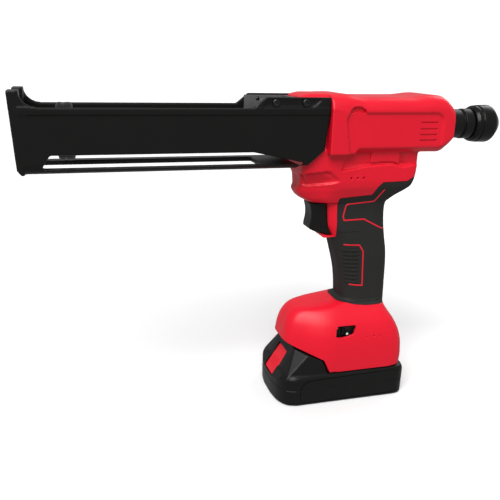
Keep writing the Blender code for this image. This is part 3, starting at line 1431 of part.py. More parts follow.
def build():
    clear_scene()
    cartridge_tray()
    tray_bracket()
    number = 0
    for side in (-1, 1):
        for x in TRAY_SCREW_X:
            number += 1
            tray_screw(number, side, x)
    rod_pieces()
    rod_guides()
    gear_train()
    motor()
    gear_plates()
    for side, word in ((-1, "left"), (1, "right")):
        housing_half(f"{word}_housing", side)
        grip_half(f"{word}_grip", side)
    for number, (x, z) in enumerate(HOUSING_SCREWS):
        housing_screw(number + 1, x, z)
    trigger_group()
    foot_pieces()
    battery_pieces()
    set_origins()


build()
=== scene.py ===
import json
import math

import bmesh
import bpy
import numpy as np
from mathutils import Matrix, Vector
from mathutils.bvhtree import BVHTree


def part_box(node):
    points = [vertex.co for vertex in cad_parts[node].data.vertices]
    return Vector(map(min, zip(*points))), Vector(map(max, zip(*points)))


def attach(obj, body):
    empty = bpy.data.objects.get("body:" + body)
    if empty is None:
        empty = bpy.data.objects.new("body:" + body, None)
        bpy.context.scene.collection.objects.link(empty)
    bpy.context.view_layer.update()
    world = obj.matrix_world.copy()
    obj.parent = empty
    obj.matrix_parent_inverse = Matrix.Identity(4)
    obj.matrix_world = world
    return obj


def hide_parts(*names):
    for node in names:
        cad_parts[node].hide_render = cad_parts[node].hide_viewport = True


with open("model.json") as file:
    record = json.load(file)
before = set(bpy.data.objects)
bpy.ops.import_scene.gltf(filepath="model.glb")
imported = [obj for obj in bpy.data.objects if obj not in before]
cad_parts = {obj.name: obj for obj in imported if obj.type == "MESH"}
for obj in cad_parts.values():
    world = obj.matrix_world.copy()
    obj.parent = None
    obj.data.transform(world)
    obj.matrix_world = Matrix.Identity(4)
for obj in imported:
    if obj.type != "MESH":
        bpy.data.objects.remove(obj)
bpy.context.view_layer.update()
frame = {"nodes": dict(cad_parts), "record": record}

# ---------------------------------------------------------------- places read from the frame
ROD_LOW, ROD_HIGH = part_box("push_rod")
TRAY_LOW, TRAY_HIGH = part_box("cartridge_tray")
CASE_LOW, CASE_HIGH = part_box("battery_lower_case")
KNOB_LOW, KNOB_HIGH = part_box("pull_knob")
SLEEVE_LOW, SLEEVE_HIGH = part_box("rear_guide_sleeve")
PISTON_LOW, PISTON_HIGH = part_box("piston_plate")
TRIGGER_LOW, TRIGGER_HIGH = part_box("trigger")
SHELL_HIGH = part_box("left_housing")[1]
SLIDER_LOW, SLIDER_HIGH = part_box("mode_slider")
ROD_Z = (ROD_LOW.z + ROD_HIGH.z) / 2
AXIS_Z = (PISTON_LOW.z + PISTON_HIGH.z) / 2
SEAM = 0.00014
RUBBER_THICKNESS = 0.0022
WALL = 0.0025
THICK_WALL = 0.0048
CASE_WALL = 0.0030
TRIGGER_CLEARANCE = 0.0006
STRIP_STEP = 0.0008
SLIDER_REACH = 0.0042
SLIDER_CLEARANCE = 0.0003
BODY_GRAIN = 0.0008
CASE_GRAIN = 0.0007
PANEL_FACE = 0.0308
RECESS_FACE = 0.0212
NOTCH_FACE = 0.0288
GROOVE_FACE = 0.0296


# ---------------------------------------------------------------- solids
def solid(name, bm):
    bmesh.ops.recalc_face_normals(bm, faces=bm.faces)
    mesh = bpy.data.meshes.new(name)
    bm.to_mesh(mesh)
    bm.free()
    obj = bpy.data.objects.new(name, mesh)
    bpy.context.scene.collection.objects.link(obj)
    return obj


def loft(name, rings):
    """Rings of equally many points, skinned in order and closed at both ends."""
    bm = bmesh.new()
    rows = [[bm.verts.new(point) for point in ring] for ring in rings]
    count = len(rows[0])
    for first, second in zip(rows, rows[1:]):
        for i in range(count):
            j = (i + 1) % count
            bm.faces.new((first[i], first[j], second[j], second[i]))
    bm.faces.new(rows[0])
    bm.faces.new(rows[-1])
    return solid(name, bm)


def prism(name, outline, plane, low, high):
    """An outline in the XZ, YZ or XY plane drawn out along the third axis."""
    def at(u, v, w):
        return {"XZ": (u, w, v), "YZ": (w, u, v), "XY": (u, v, w)}[plane]

    return loft(name, [[at(u, v, w) for u, v in outline] for w in (low, high)])


def block(name, low, high):
    outline = ((low[0], low[1]), (high[0], low[1]), (high[0], high[1]), (low[0], high[1]))
    return prism(name, outline, "XY", low[2], high[2])


def hull(name, points):
    bm = bmesh.new()
    for point in points:
        bm.verts.new(point)
    made = bmesh.ops.convex_hull(bm, input=bm.verts)
    unused = {item for item in made["geom_interior"] if isinstance(item, bmesh.types.BMVert)}
    bmesh.ops.delete(bm, geom=list(unused), context="VERTS")
    return solid(name, bm)


def bar(name, axis, centre, radius, low, high, sides=32):
    plane = {"X": "YZ", "Y": "XZ", "Z": "XY"}[axis]
    outline = [
        (
            centre[0] + radius * math.cos(math.tau * i / sides),
            centre[1] + radius * math.sin(math.tau * i / sides),
        )
        for i in range(sides)
    ]
    return prism(name, outline, plane, low, high)


def eased_corners(corners, steps=6, closed=True):
    """Corners (u, v, reach), each rounded off with a curve that starts that far from the corner."""
    points = []
    count = len(corners)
    for i, (u, v, reach) in enumerate(corners):
        here = Vector((u, v))
        if not closed and i in (0, count - 1):
            points.append((u, v))
            continue
        before, after = Vector(corners[i - 1][:2]) - here, Vector(corners[(i + 1) % count][:2]) - here
        reach = min(reach, before.length * 0.48, after.length * 0.48)
        start, end = here + before.normalized() * reach, here + after.normalized() * reach
        for step in range(steps + 1):
            t = step / steps
            points.append(tuple((1 - t) ** 2 * start + 2 * t * (1 - t) * here + t * t * end))
    return points


def turned(name, profile, centre, sides=96, steps=4):
    """A turned piece about a line along X. The profile is (x, radius, reach of the rounding)."""
    eased = eased_corners(profile, steps, closed=False)
    rings = [
        [
            (
                x,
                centre[0] + r * math.cos(math.tau * k / sides),
                centre[1] + r * math.sin(math.tau * k / sides),
            )
            for k in range(sides)
        ]
        for x, r in eased
    ]
    return loft(name, rings)


def flowing(rows, count):
    """Rows of numbers, read at evenly spaced values of their first number along a smooth line."""
    table = np.array(rows, float)
    at = table[:, 0]
    wanted = np.linspace(at[0], at[-1], count)
    columns = [wanted]
    for values in table[:, 1:].T:
        slope = np.diff(values) / np.diff(at)
        lean = np.zeros(len(at))
        lean[0], lean[-1] = slope[0], slope[-1]
        for i in range(1, len(at) - 1):
            if slope[i - 1] * slope[i] > 0:
                lean[i] = 2 * slope[i - 1] * slope[i] / (slope[i - 1] + slope[i])
        place = np.clip(np.searchsorted(at, wanted, side="right") - 1, 0, len(at) - 2)
        width = at[place + 1] - at[place]
        t = (wanted - at[place]) / width
        columns.append(
            (2 * t**3 - 3 * t**2 + 1) * values[place] + (t**3 - 2 * t**2 + t) * width * lean[place]
            + (3 * t**2 - 2 * t**3) * values[place + 1] + (t**3 - t**2) * width * lean[place + 1]
        )
    return np.array(columns).T


def settled(obj):
    """The object with its modifiers made part of its mesh."""
    graph = bpy.context.evaluated_depsgraph_get()
    mesh = bpy.data.meshes.new_from_object(obj.evaluated_get(graph))
    obj.modifiers.clear()
    obj.data = mesh
    return obj


def together(name, pieces):
    bm = bmesh.new()
    for piece in pieces:
        bm.from_mesh(piece.data)
        bpy.data.objects.remove(piece)
    return solid(name, bm)


def worked(obj, tools, operation="DIFFERENCE"):
    """Cuts, joins or keeps what lies in each tool, and throws the tool away."""
    for tool in tools:
        change = obj.modifiers.new("work", "BOOLEAN")
        change.operation = operation
        change.solver = "MANIFOLD"
        change.object = tool
        settled(obj)
        bpy.data.objects.remove(tool)
    return obj


def skinned(obj, grain):
    skin = obj.modifiers.new("skin", "REMESH")
    skin.mode = "VOXEL"
    skin.voxel_size = grain * 1.0


def moulding(name, blanks, grain, rounds, cuts=(), added=()):
    """One skin over all the blanks, with the soft edges of a moulding."""
    obj = together(name, blanks)
    skinned(obj, grain)
    settled(obj)
    if cuts:
        worked(obj, cuts)
        worked(obj, added, "UNION")
        skinned(obj, grain)
    ease = obj.modifiers.new("ease", "SMOOTH")
    ease.factor = 0.5
    ease.iterations = rounds
    return settled(obj)


def copy_of(obj, name):
    made = bpy.data.objects.new(name, obj.data.copy())
    bpy.context.scene.collection.objects.link(made)
    return made


def grown_copy(node, by=0.00025):
    """A tool a little larger all round than the piece it makes room for."""
    made = copy_of(frame["nodes"][node], node + "_room")
    bm = bmesh.new()
    bm.from_mesh(made.data)
    bmesh.ops.remove_doubles(bm, verts=bm.verts, dist=1e-6)
    bm.transform(frame["nodes"][node].matrix_world)
    bm.to_mesh(made.data)
    bm.free()
    swell = made.modifiers.new("swell", "DISPLACE")
    swell.strength = by
    swell.mid_level = 0.0
    return settled(made)


def smooth_faces(obj, angle=38):
    obj.data.shade_smooth()
    obj.data.set_sharp_from_angle(angle=math.radians(angle))
    return obj


def fitted(obj, body, slot, finish, *nodes, angle=38):
    """Gives a finished piece its material and body, and hides the nodes it stands for."""
    obj.data.materials.clear()
    obj.data.materials.append(finish)
    smooth_faces(obj, angle)
    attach(obj, body)
    if nodes:
        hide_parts(*nodes)
    return obj


# ---------------------------------------------------------------- finishes
class Signal:
    """A socket's value, worked on with ordinary arithmetic."""

    def __init__(self, tree, socket):
        self.tree, self.socket = tree, socket

    def sum_of(self, operation, *values):
        node = self.tree.nodes.new("ShaderNodeMath")
        node.operation = operation
        for slot, value in zip(node.inputs, values):
            put(self.tree, slot, value)
        return Signal(self.tree, node.outputs[0])

    def __add__(self, other):
        return self.sum_of("ADD", self, other)

    __radd__ = __add__

    def __sub__(self, other):
        return self.sum_of("SUBTRACT", self, other)

    def __rsub__(self, other):
        return self.sum_of("SUBTRACT", other, self)

    def __mul__(self, other):
        return self.sum_of("MULTIPLY", self, other)

    __rmul__ = __mul__

    def over(self, level, softness):
        """0 below level, 1 above it, over a soft step."""
        scaled = (self - level) * (1 / softness)
        return scaled.sum_of("MINIMUM", scaled.sum_of("MAXIMUM", scaled, 0.0), 1.0)


def put(tree, socket, value):
    if isinstance(value, Signal):
        tree.links.new(value.socket, socket)
    else:
        socket.default_value = value


class Finish:
    """A material, built up from nodes around its main shader."""

    def __init__(self, name, colour, roughness, metallic=0.0):
        self.material = bpy.data.materials.new(name)
        self.material.use_nodes = True
        self.tree = self.material.node_tree
        self.shader = self.tree.nodes["Principled BSDF"]
        self.set({"Base Color": (*colour, 1.0), "Roughness": roughness, "Metallic": metallic})
        self.place = self.node("ShaderNodeTexCoord", output="Object")

    def set(self, values):
        for name, value in values.items():
            put(self.tree, self.shader.inputs[name], value)

    def node(self, kind, settings=None, sockets=None, output=0):
        made = self.tree.nodes.new(kind)
        for name, value in (settings or {}).items():
            setattr(made, name, value)
        for name, value in (sockets or {}).items():
            put(self.tree, made.inputs[name], value)
        return Signal(self.tree, made.outputs[output])

    def stretched(self, scale):
        return self.node("ShaderNodeMapping", sockets={"Vector": self.place, "Scale": scale})

    def noise(self, scale, detail=2.0, roughness=0.5, vector=None):
        return self.node(
            "ShaderNodeTexNoise",
            sockets={
                "Vector": vector or self.place,
                "Scale": scale,
                "Detail": detail,
                "Roughness": roughness,
            },
        )

    def cells(self, scale):
        return self.node("ShaderNodeTexVoronoi", sockets={"Vector": self.place, "Scale": scale})

    def between(self, mask, first, second):
        return self.node("ShaderNodeMix", {"data_type": "RGBA"}, {0: mask, 6: first, 7: second}, output=2)

    def raised(self, height, depth, strength=1.0):
        sockets = {"Height": height, "Distance": depth, "Strength": strength}
        return self.node("ShaderNodeBump", sockets=sockets)

    def edges(self, low, softness):
        """Where the surface turns outwards, as on a worn corner."""
        point = self.node("ShaderNodeNewGeometry", output="Pointiness")
        return point.over(low, softness)


def tint(colour, factor):
    return (*[min(1.0, c * factor) for c in colour], 1.0)


def red_moulding():
    red = (0.72, 0.0045, 0.022)
    made = Finish("red_moulding", red, 0.38)
    made.set({"Specular IOR Level": 0.32})
    cloud = made.noise(26.0, 3.0)
    scuff = made.noise(420.0, 4.0, 0.6, made.stretched((1.0, 1.0, 0.25))).over(0.64, 0.10)
    worn = made.edges(0.515, 0.05) * made.noise(90.0, 3.0)
    base = made.between(cloud, tint(red, 0.93), tint(red, 1.04))
    base = made.between(worn * 0.22, base, (0.86, 0.10, 0.10, 1.0))
    made.set({
        "Base Color": base,
        "Roughness": 0.33 + cloud * 0.10 + scuff * 0.12,
        "Normal": made.raised(made.noise(2600.0, 2.0) + made.cells(1500.0) * 0.4, 0.00004, 0.5),
    })
    return made.material


def black_moulding(name="black_moulding", level=0.0042, gloss=0.36):
    black = (level * 1.04, level, level * 0.96)
    made = Finish(name, black, gloss)
    made.set({"Specular IOR Level": 0.22})
    cloud = made.noise(34.0, 3.0)
    scuff = made.noise(300.0, 4.0, 0.6, made.stretched((0.2, 1.0, 1.0))).over(0.66, 0.10)
    worn = made.edges(0.52, 0.05) * made.noise(70.0, 3.0)
    base = made.between(cloud, tint(black, 0.85), tint(black, 1.2))
    base = made.between(worn * 0.35, base, (0.03, 0.03, 0.029, 1.0))
    made.set({
        "Base Color": base,
        "Roughness": gloss - 0.04 + cloud * 0.09 + scuff * 0.12,
        "Normal": made.raised(made.noise(2200.0, 2.0) + made.cells(1300.0) * 0.5, 0.00005, 0.6),
    })
    return made.material


def soft_rubber():
    grey = (0.0165, 0.0165, 0.0155)
    made = Finish("soft_rubber", grey, 0.66)
    made.set({"Specular IOR Level": 0.25})
    cloud = made.noise(40.0, 3.0)
    dust = made.noise(240.0, 5.0, 0.65).over(0.60, 0.12)
    base = made.between(cloud, tint(grey, 0.85), tint(grey, 1.15))
    base = made.between(dust * 0.25, base, (0.036, 0.036, 0.034, 1.0))
    made.set({
        "Base Color": base,
        "Roughness": 0.60 + cloud * 0.10 + dust * 0.06,
        "Normal": made.raised(made.cells(1100.0), 0.00010, 0.7),
    })
    return made.material


def metal(name, colour, roughness, run=(0.04, 1.0, 1.0), depth=0.00003):
    made = Finish(name, colour, roughness, metallic=1.0)
    streak = made.noise(1400.0, 3.0, 0.6, made.stretched(run))
    stain = made.noise(60.0, 4.0, 0.6)
    base = made.between(stain, tint(colour, 0.82), tint(colour, 1.08))
    made.set({
        "Base Color": base,
        "Roughness": roughness - 0.06 + streak * 0.10 + stain * 0.08,
        "Normal": made.raised(streak, depth, 0.6),
    })
    return made.material


def wrap(name, colour, gloss):
    made = Finish(name, colour, gloss)
    cloud = made.noise(80.0, 4.0)
    made.set({
        "Base Color": made.between(cloud, tint(colour, 0.85), tint(colour, 1.1)),
        "Roughness": gloss - 0.05 + cloud * 0.1,
        "Normal": made.raised(made.noise(900.0, 2.0), 0.00003, 0.5),
    })
    return made.material


RED_FINISH = red_moulding()
BLACK_FINISH = black_moulding()
GLOSSY_BLACK = black_moulding("smooth_black_moulding", 0.0040, 0.26)
RUBBER_FINISH = soft_rubber()
ROD_FINISH = metal("drawn_rod_steel", (0.52, 0.52, 0.53), 0.30)
STEEL_FINISH = metal("plated_steel", (0.36, 0.36, 0.37), 0.38, (1.0, 1.0, 1.0))
SCREW_FINISH = metal("bright_screw_steel", (0.58, 0.58, 0.59), 0.28, (1.0, 1.0, 1.0))
ALLOY_FINISH = metal("cast_alloy", (0.42, 0.42, 0.43), 0.52, (1.0, 1.0, 1.0), 0.00012)
COPPER_FINISH = metal("winding_copper", (0.60, 0.28, 0.14), 0.36)
BOARD_FINISH = wrap("board_lacquer", (0.02, 0.15, 0.06), 0.4)
CELL_FINISH = wrap("cell_sleeve", (0.03, 0.15, 0.36), 0.35)
DARK_SCREW_FINISH = metal("blackened_screw_steel", (0.045, 0.045, 0.047), 0.30, (1.0, 1.0, 1.0))
DOT_FINISH = wrap("pale_mark", (0.72, 0.72, 0.69), 0.45)

# ---------------------------------------------------------------- body
# Each row: height, front x, rear x, half width, corner reach, front taper length, front half width.
FOOT_ROWS = (
    (0.0303, -0.0560, 0.0570, 0.0368, 0.013, 0.032, 0.0190),
    (0.0400, -0.0572, 0.0578, 0.0370, 0.013, 0.033, 0.0190),
    (0.0520, -0.0575, 0.0575, 0.0366, 0.014, 0.033, 0.0185),
    (0.0640, -0.0563, 0.0550, 0.0350, 0.014, 0.032, 0.0180),
    (0.0740, -0.0540, 0.0505, 0.0318, 0.014, 0.031, 0.0170),
    (0.0820, -0.0500, 0.0455, 0.0272, 0.014, 0.028, 0.0150),
    (0.0870, -0.0440, 0.0430, 0.0232, 0.013, 0.024, 0.0130),
    (0.0905, -0.0200, 0.0425, 0.0198, 0.012, 0.012, 0.0120),
    (0.0930, -0.0020, 0.0425, 0.0180, 0.012, 0.006, 0.0110),
)
HANDLE_ROWS = (
    (0.0850, 0.0000, 0.0440, 0.0186, 0.013, 0.009, 0.0115),
    (0.0925, -0.0002, 0.0442, 0.0182, 0.013, 0.009, 0.0115),
    (0.1050, -0.0012, 0.0444, 0.0173, 0.013, 0.009, 0.0110),
    (0.1200, -0.0035, 0.0443, 0.0170, 0.013, 0.009, 0.0105),
    (0.1380, -0.0082, 0.0430, 0.0175, 0.013, 0.009, 0.0105),
    (0.1540, -0.0132, 0.0400, 0.0176, 0.013, 0.009, 0.0105),
    (0.1660, -0.0185, 0.0383, 0.0173, 0.013, 0.009, 0.0105),
    (0.1790, -0.0200, 0.0375, 0.0171, 0.013, 0.009, 0.0105),
    (0.1880, -0.0210, 0.0388, 0.0176, 0.013, 0.009, 0.0110),
    (0.1960, -0.0240, 0.0500, 0.0200, 0.012, 0.012, 0.0115),
)
SHOULDER_ROWS = (
    (0.1874, -0.0370, 0.0380, 0.0178, 0.010, 0.016, 0.0095),
    (0.1930, -0.0462, 0.0438, 0.0203, 0.009, 0.024, 0.0100),
    (0.1985, -0.0488, 0.0518, 0.0228, 0.008, 0.030, 0.0115),
    (0.2025, -0.0468, 0.0560, 0.0244, 0.007, 0.030, 0.0125),
    (0.2090, -0.0468, 0.0580, 0.0252, 0.006, 0.026, 0.0165),
    (0.2160, -0.0486, 0.0592, 0.0252, 0.006, 0.014, 0.0205),
    (0.2360, -0.0488, 0.0600, 0.0252, 0.006, 0.012, 0.0230),
)
GRIP_OUTLINE = (
    (-0.0400, 0.0940), (0.0020, 0.0922), (0.0120, 0.0900), (0.0220, 0.0890), (0.0800, 0.0888),
    (0.0800, 0.2108), (0.0556, 0.2106), (0.0490, 0.2066), (0.0262, 0.2064), (0.0220, 0.2022),
    (0.0182, 0.1946), (-0.0115, 0.1922), (-0.0125, 0.1905), (-0.0112, 0.1700), (-0.0105, 0.1548),
    (-0.0400, 0.1530),
)


def plan_ring(row, inset):
    z, front, rear, half, reach, taper, nose = row
    front, rear, half, nose = front + inset, rear - inset, half - inset, nose - inset * 0.5
    reach = max(reach - inset, 0.003)
    corners = (
        (rear, half, reach), (front + taper, half, reach), (front, nose, reach * 0.7),
        (front, -nose, reach * 0.7), (front + taper, -half, reach), (rear, -half, reach),
    )
    return [(x, y, z) for x, y in eased_corners(corners)]


def upright(name, rows, inset=0.0, count=40):
    return loft(name, [plan_ring(row, inset) for row in flowing(rows, count)])


def barrel_block(name, inset):
    """The box behind the tray, with bevelled shoulders and a dip along its top."""
    rows = (
        (-0.0290, 0.2814, 0.2325, 0.0325), (-0.0165, 0.2816, 0.2325, 0.0325),
        (0.0043, 0.2793, 0.2325, 0.0325), (0.0464, 0.2795, 0.2325, 0.0325),
        (0.0676, 0.2814, 0.2325, 0.0325), (0.0762, 0.2806, 0.2325, 0.0325),
        (0.0865, 0.2728, 0.2392, 0.0321),
    )
    rings = []
    for x, top, bottom, half in flowing(rows, 36):
        x = min(max(x, rows[0][0] + inset), rows[-1][0] - inset)
        top, bottom, half = top - inset, bottom + inset, half - inset
        right = (
            (half - 0.0110, top, 0.003), (half - 0.0035, top - 0.0030, 0.003), (half, top - 0.0095, 0.003),
            (half, bottom + 0.0066, 0.002), (half - 0.0080, bottom, 0.002),
        )
        left = [(-y, z, reach) for y, z, reach in reversed(right)]
        rings.append([(x, y, z) for y, z in eased_corners(list(right) + left, 3)])
    return loft(name, rings)


def nose_block(name, inset):
    rings = []
    low = TRAY_LOW.z + 0.0050 + inset
    for x, top, half in ((-0.0520, 0.2786, 0.0226), (-0.0490, 0.2803, 0.0231), (-0.0430, 0.2814, 0.0232),
                         (-0.0200, 0.2815, 0.0232)):
        x = max(x, -0.0520 + inset)
        corners = (
            (half - inset, low, 0.002), (half - inset, top - 0.0045 - inset, 0.002),
            (half - 0.0055, top - inset, 0.002), (0.0055 - half, top - inset, 0.002),
            (inset - half, top - 0.0045 - inset, 0.002), (inset - half, low, 0.002),
        )
        rings.append([(x, y, z) for y, z in eased_corners(corners, 3)])
    return loft(name, rings)


def collar(name):
    """The front band of the barrel, which runs straight down where the rest is bevelled."""
    outline = (
        (-0.0290, 0.2322), (-0.0060, 0.2324), (-0.0022, 0.2378), (-0.0122, 0.2402),
        (-0.0166, 0.2613), (-0.0135, 0.2680), (-0.0290, 0.2710),
    )
    return prism(name, outline, "XZ", -0.0330, 0.0330)


def side_pair(name, outline, inner, outer=0.045):
    """The same outline drawn on both sides of the tool, from inner outwards."""
    return [prism(f"{name}_{side}", outline, "XZ", *sorted((side * inner, side * outer))) for side in (-1, 1)]


def stroke(points, width):
    """The outline of a line of constant width through the points."""
    line = [Vector(point) for point in points]
    left, right = [], []
    for i, here in enumerate(line):
        ahead = (line[min(i + 1, len(line) - 1)] - line[max(i - 1, 0)]).normalized()
        across = Vector((-ahead.y, ahead.x)) * width / 2
        left.append(tuple(here + across))
        right.append(tuple(here - across))
    return left + right[::-1]


def body_blank():
    blanks = [
        upright("foot_blank", FOOT_ROWS), upright("handle_blank", HANDLE_ROWS),
        upright("shoulder_blank", SHOULDER_ROWS), barrel_block("barrel_blank", 0.0),
        nose_block("nose_blank", 0.0), collar("collar_blank"),
    ]
    recess, pads = shoulder_recess()
    cuts = recess + side_pair("panel", panel_outline(), PANEL_FACE) + scoops()
    return moulding("body_blank", blanks, BODY_GRAIN, 4, cuts, pads)


def panel_outline():
    return eased_corners([
        (-0.0112, 0.2300, 0.0), (-0.0160, 0.2613, 0.003), (-0.0135, 0.2668, 0.003), (-0.0010, 0.2705, 0.002),
        (0.0010, 0.2669, 0.002), (0.0702, 0.2669, 0.003), (0.0750, 0.2625, 0.003), (0.0752, 0.2300, 0.0),
    ], 3)


def scoops():
    """The hollow swept back along each side of the front, over the ledge above the trigger."""
    cuts = []
    for side in (-1, 1):
        near = [
            (-0.0530, 0.0085, 0.2035), (-0.0400, 0.0135, 0.2040),
            (-0.0270, 0.0205, 0.2052), (-0.0130, 0.0256, 0.2085),
        ]
        points = [(x, side * y, z) for x, y, z in near]
        points += [(x, side * (y + 0.0012), z + 0.0100) for x, y, z in near[:3]]
        points += [(x, side * 0.0330, z - 0.0022) for x, y, z in near]
        points += [(x, side * 0.0330, z + 0.0110) for x, y, z in near]
        cuts.append(hull("scoop", points))
    return cuts


def shoulder_recess():
    """The undercut below the barrel, with a raised pad left standing in it."""
    lower_edge = ((-0.0150, 0.2172), (0.0098, 0.2213), (0.0336, 0.2226), (0.0435, 0.2196), (0.0700, 0.2240))
    upper_edge = [(0.0700, 0.2328, 0.0), (-0.0100, 0.2328, 0.0)]
    outline = eased_corners([(x, z, 0.0012) for x, z in lower_edge] + upper_edge, 3)
    cuts = side_pair("recess", outline, RECESS_FACE)
    pad = eased_corners([
        (0.0124, 0.2238, 0.001), (0.0330, 0.2244, 0.001), (0.0400, 0.2224, 0.001),
        (0.0400, 0.2340, 0.0), (0.0124, 0.2340, 0.0),
    ], 3)
    return cuts, side_pair("pad", pad, 0.0200, 0.0244)


def panel_cuts():
    """The notch over the side panel, the short grooves and the vents."""
    notch = eased_corners([
        (-0.0142, 0.2630, 0.001), (-0.0134, 0.2690, 0.002), (-0.0095, 0.2722, 0.002),
        (-0.0030, 0.2722, 0.002), (0.0012, 0.2692, 0.001), (0.0016, 0.2666, 0.001),
        (-0.0070, 0.2672, 0.001), (-0.0118, 0.2662, 0.001),
    ], 3)
    cuts = side_pair("notch", notch, NOTCH_FACE)
    for z in (0.2588, 0.2533, 0.2484, 0.2436):
        cuts += side_pair("groove", stroke([(0.0539, z), (0.0703, z)], 0.0013), GROOVE_FACE)
    for side in (-1, 1):
        for x in (-0.0049, 0.0012, 0.0069):
            depth = sorted((side * 0.0228, side * 0.04))
            cuts.append(bar("vent", "Y", (x, 0.2109), 0.0010, *depth, sides=16))
        for x in (0.0188, 0.0252, 0.0314):
            depth = sorted((side * 0.0330, side * 0.05))
            cuts.append(bar("foot_vent", "Y", (x, 0.0630), 0.0007, *depth, sides=16))
    return cuts


def hollow_cuts():
    return [
        barrel_block("barrel_hollow", THICK_WALL), nose_block("nose_hollow", WALL),
        upright("shoulder_hollow", [(row[0] + 0.003, *row[1:]) for row in SHOULDER_ROWS[2:]], THICK_WALL),
        upright("foot_hollow", FOOT_ROWS[:6], WALL),
        upright("handle_hollow", HANDLE_ROWS, RUBBER_THICKNESS + 0.0029),
        block("battery_bay", (-0.0600, -0.0221, 0.0200), (0.0470, 0.0221, 0.0442)),
        block(
            "trigger_mouth",
            (-0.0340, TRIGGER_LOW.y - TRIGGER_CLEARANCE, TRIGGER_LOW.z - TRIGGER_CLEARANCE),
            (-0.0060, TRIGGER_HIGH.y + TRIGGER_CLEARANCE, 0.1890),
        ),
        bar("front_hole", "X", (0.0, ROD_Z), 0.0098, -0.0700, -0.0440),
        bar("rear_hole", "X", (0.0, ROD_Z), 0.0101, 0.0800, 0.1000),
        prism("slide_window", eased_corners([
            (-0.0130, 0.0643, 0.0018), (-0.0122, 0.0724, 0.0018), (-0.0040, 0.0742, 0.0010),
            (0.0076, 0.0742, 0.0012), (0.0072, 0.0706, 0.0012), (0.0040, 0.0660, 0.0015),
            (-0.0060, 0.0638, 0.0015),
        ], 4), "XZ", -0.0500, -0.0200),
        block(
            "slider_path",
            (SLIDER_LOW.x - SLIDER_REACH, SLIDER_HIGH.y - 0.0026, SLIDER_LOW.z - SLIDER_CLEARANCE),
            (SLIDER_HIGH.x + SLIDER_REACH, SLIDER_HIGH.y + 0.0010, SLIDER_HIGH.z + SLIDER_CLEARANCE),
        ),
        prism("hood_recess", (
            (-0.0172, 0.0200), (-0.0172, 0.0300), (-0.0238, 0.0434), (-0.0378, 0.0495), (-0.0900, 0.0716),
            (-0.0900, 0.0000),
        ), "XZ", -0.06, 0.06),
    ]


SCREWS = {n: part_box(n) for n in frame["nodes"] if n.startswith("housing_screw")}


def screw_wells():
    """Posts in the right half, each with a counterbore over its screw."""
    posts, wells = [], []
    for node, (low, high) in SCREWS.items():
        x, z = (low.x + high.x) / 2, (low.z + high.z) / 2
        radius = (high.x - low.x) / 2 + 0.0004
        posts.append(bar(node + "_post", "Y", (x, z), radius + 0.0014, 0.0010, high.y - 0.0006))
        wells.append(bar(node + "_well", "Y", (x, z), radius, high.y - 0.0026, 0.06))
        wells.append(bar(node + "_shank", "Y", (x, z), 0.0019, -0.0010, high.y - 0.0020, 16))
    return posts, wells


def half_space(side):
    """Everything on one side of the seam."""
    low, high = sorted((side * SEAM, side * 0.1))
    return block("half", (-0.4, low, -0.1), (0.4, high, 0.4))


def grip_and_shells():
    blank = body_blank()
    grip = copy_of(blank, "grip_blank")
    worked(grip, [prism("grip_keep", GRIP_OUTLINE, "XZ", -0.06, 0.06)], "INTERSECT")
    rows = [row for row in HANDLE_ROWS] + [row for row in SHOULDER_ROWS if row[0] > 0.1961]
    core = upright("core", rows, RUBBER_THICKNESS, 60)
    worked(grip, [core])
    worked(blank, [prism("grip_bed", grown(GRIP_OUTLINE, 0.0003), "XZ", -0.06, 0.06)])
    worked(blank, [upright("inner_core", rows, RUBBER_THICKNESS + 0.0003, 60)], "UNION")
    worked(blank, panel_cuts())
    inside = ("cartridge_tray", "tray_bracket", "front_rod_bush")
    worked(blank, hollow_cuts() + [grown_copy(node) for node in inside])
    lip = prism("trigger_lip", eased_corners([
        (-0.0240, 0.1577, 0.0004), (-0.0236, 0.1556, 0.0008), (-0.0190, 0.1526, 0.0010),
        (-0.0100, 0.1490, 0.0), (-0.0100, 0.1556, 0.0), (-0.0172, 0.1558, 0.0010),
    ], 3), "XZ", -0.0118, 0.0118)
    worked(lip, [prism("grip_bed", grown(GRIP_OUTLINE, 0.0003), "XZ", -0.06, 0.06)])
    worked(blank, [lip], "UNION")
    posts, wells = screw_wells()
    for side, word in ((-1, "left"), (1, "right")):
        shell = copy_of(blank, word + "_shell")
        worked(shell, [half_space(side)], "INTERSECT")
        if side > 0:
            worked(shell, posts, "UNION")
            worked(shell, wells)
        fitted(shell, "housing", "red_plastic", RED_FINISH, word + "_housing")
        cover = copy_of(grip, word + "_grip_cover")
        worked(cover, [half_space(side)], "INTERSECT")
        if side > 0:
            worked(cover, [
                bar("grip_well", "Y", ((low.x + high.x) / 2, (low.z + high.z) / 2), 0.0034, 0.005, 0.06)
                for low, high in SCREWS.values() if 0.09 < low.z < 0.20
            ])
        fitted(cover, "housing", "rubber", RUBBER_FINISH, word + "_grip")
        grip_trim(cover, side, word)
    bpy.data.objects.remove(blank)
    bpy.data.objects.remove(grip)


def grown(outline, by):
    """An outline pushed outwards all round."""
    count = len(outline)
    area = sum(outline[i - 1][0] * outline[i][1] - outline[i][0] * outline[i - 1][1] for i in range(count))
    turn = 1 if area > 0 else -1
    moved = []
    for i, point in enumerate(outline):
        here = Vector(point)
        before = (here - Vector(outline[i - 1])).normalized()
        after = (Vector(outline[(i + 1) % count]) - here).normalized()
        normal = (Vector((before.y, -before.x)) + Vector((after.y, -after.x))).normalized() * turn
        moved.append(tuple(here + normal * by))
    return moved


def spaced(points, step):
    """Points along a line through the given ones, about a step apart, corners kept."""
    found = [Vector(points[0])]
    for start, end in zip(points, points[1:]):
        start, end = Vector(start), Vector(end)
        count = max(1, round((end - start).length / step))
        found += [start.lerp(end, k / count) for k in range(1, count + 1)]
    return found


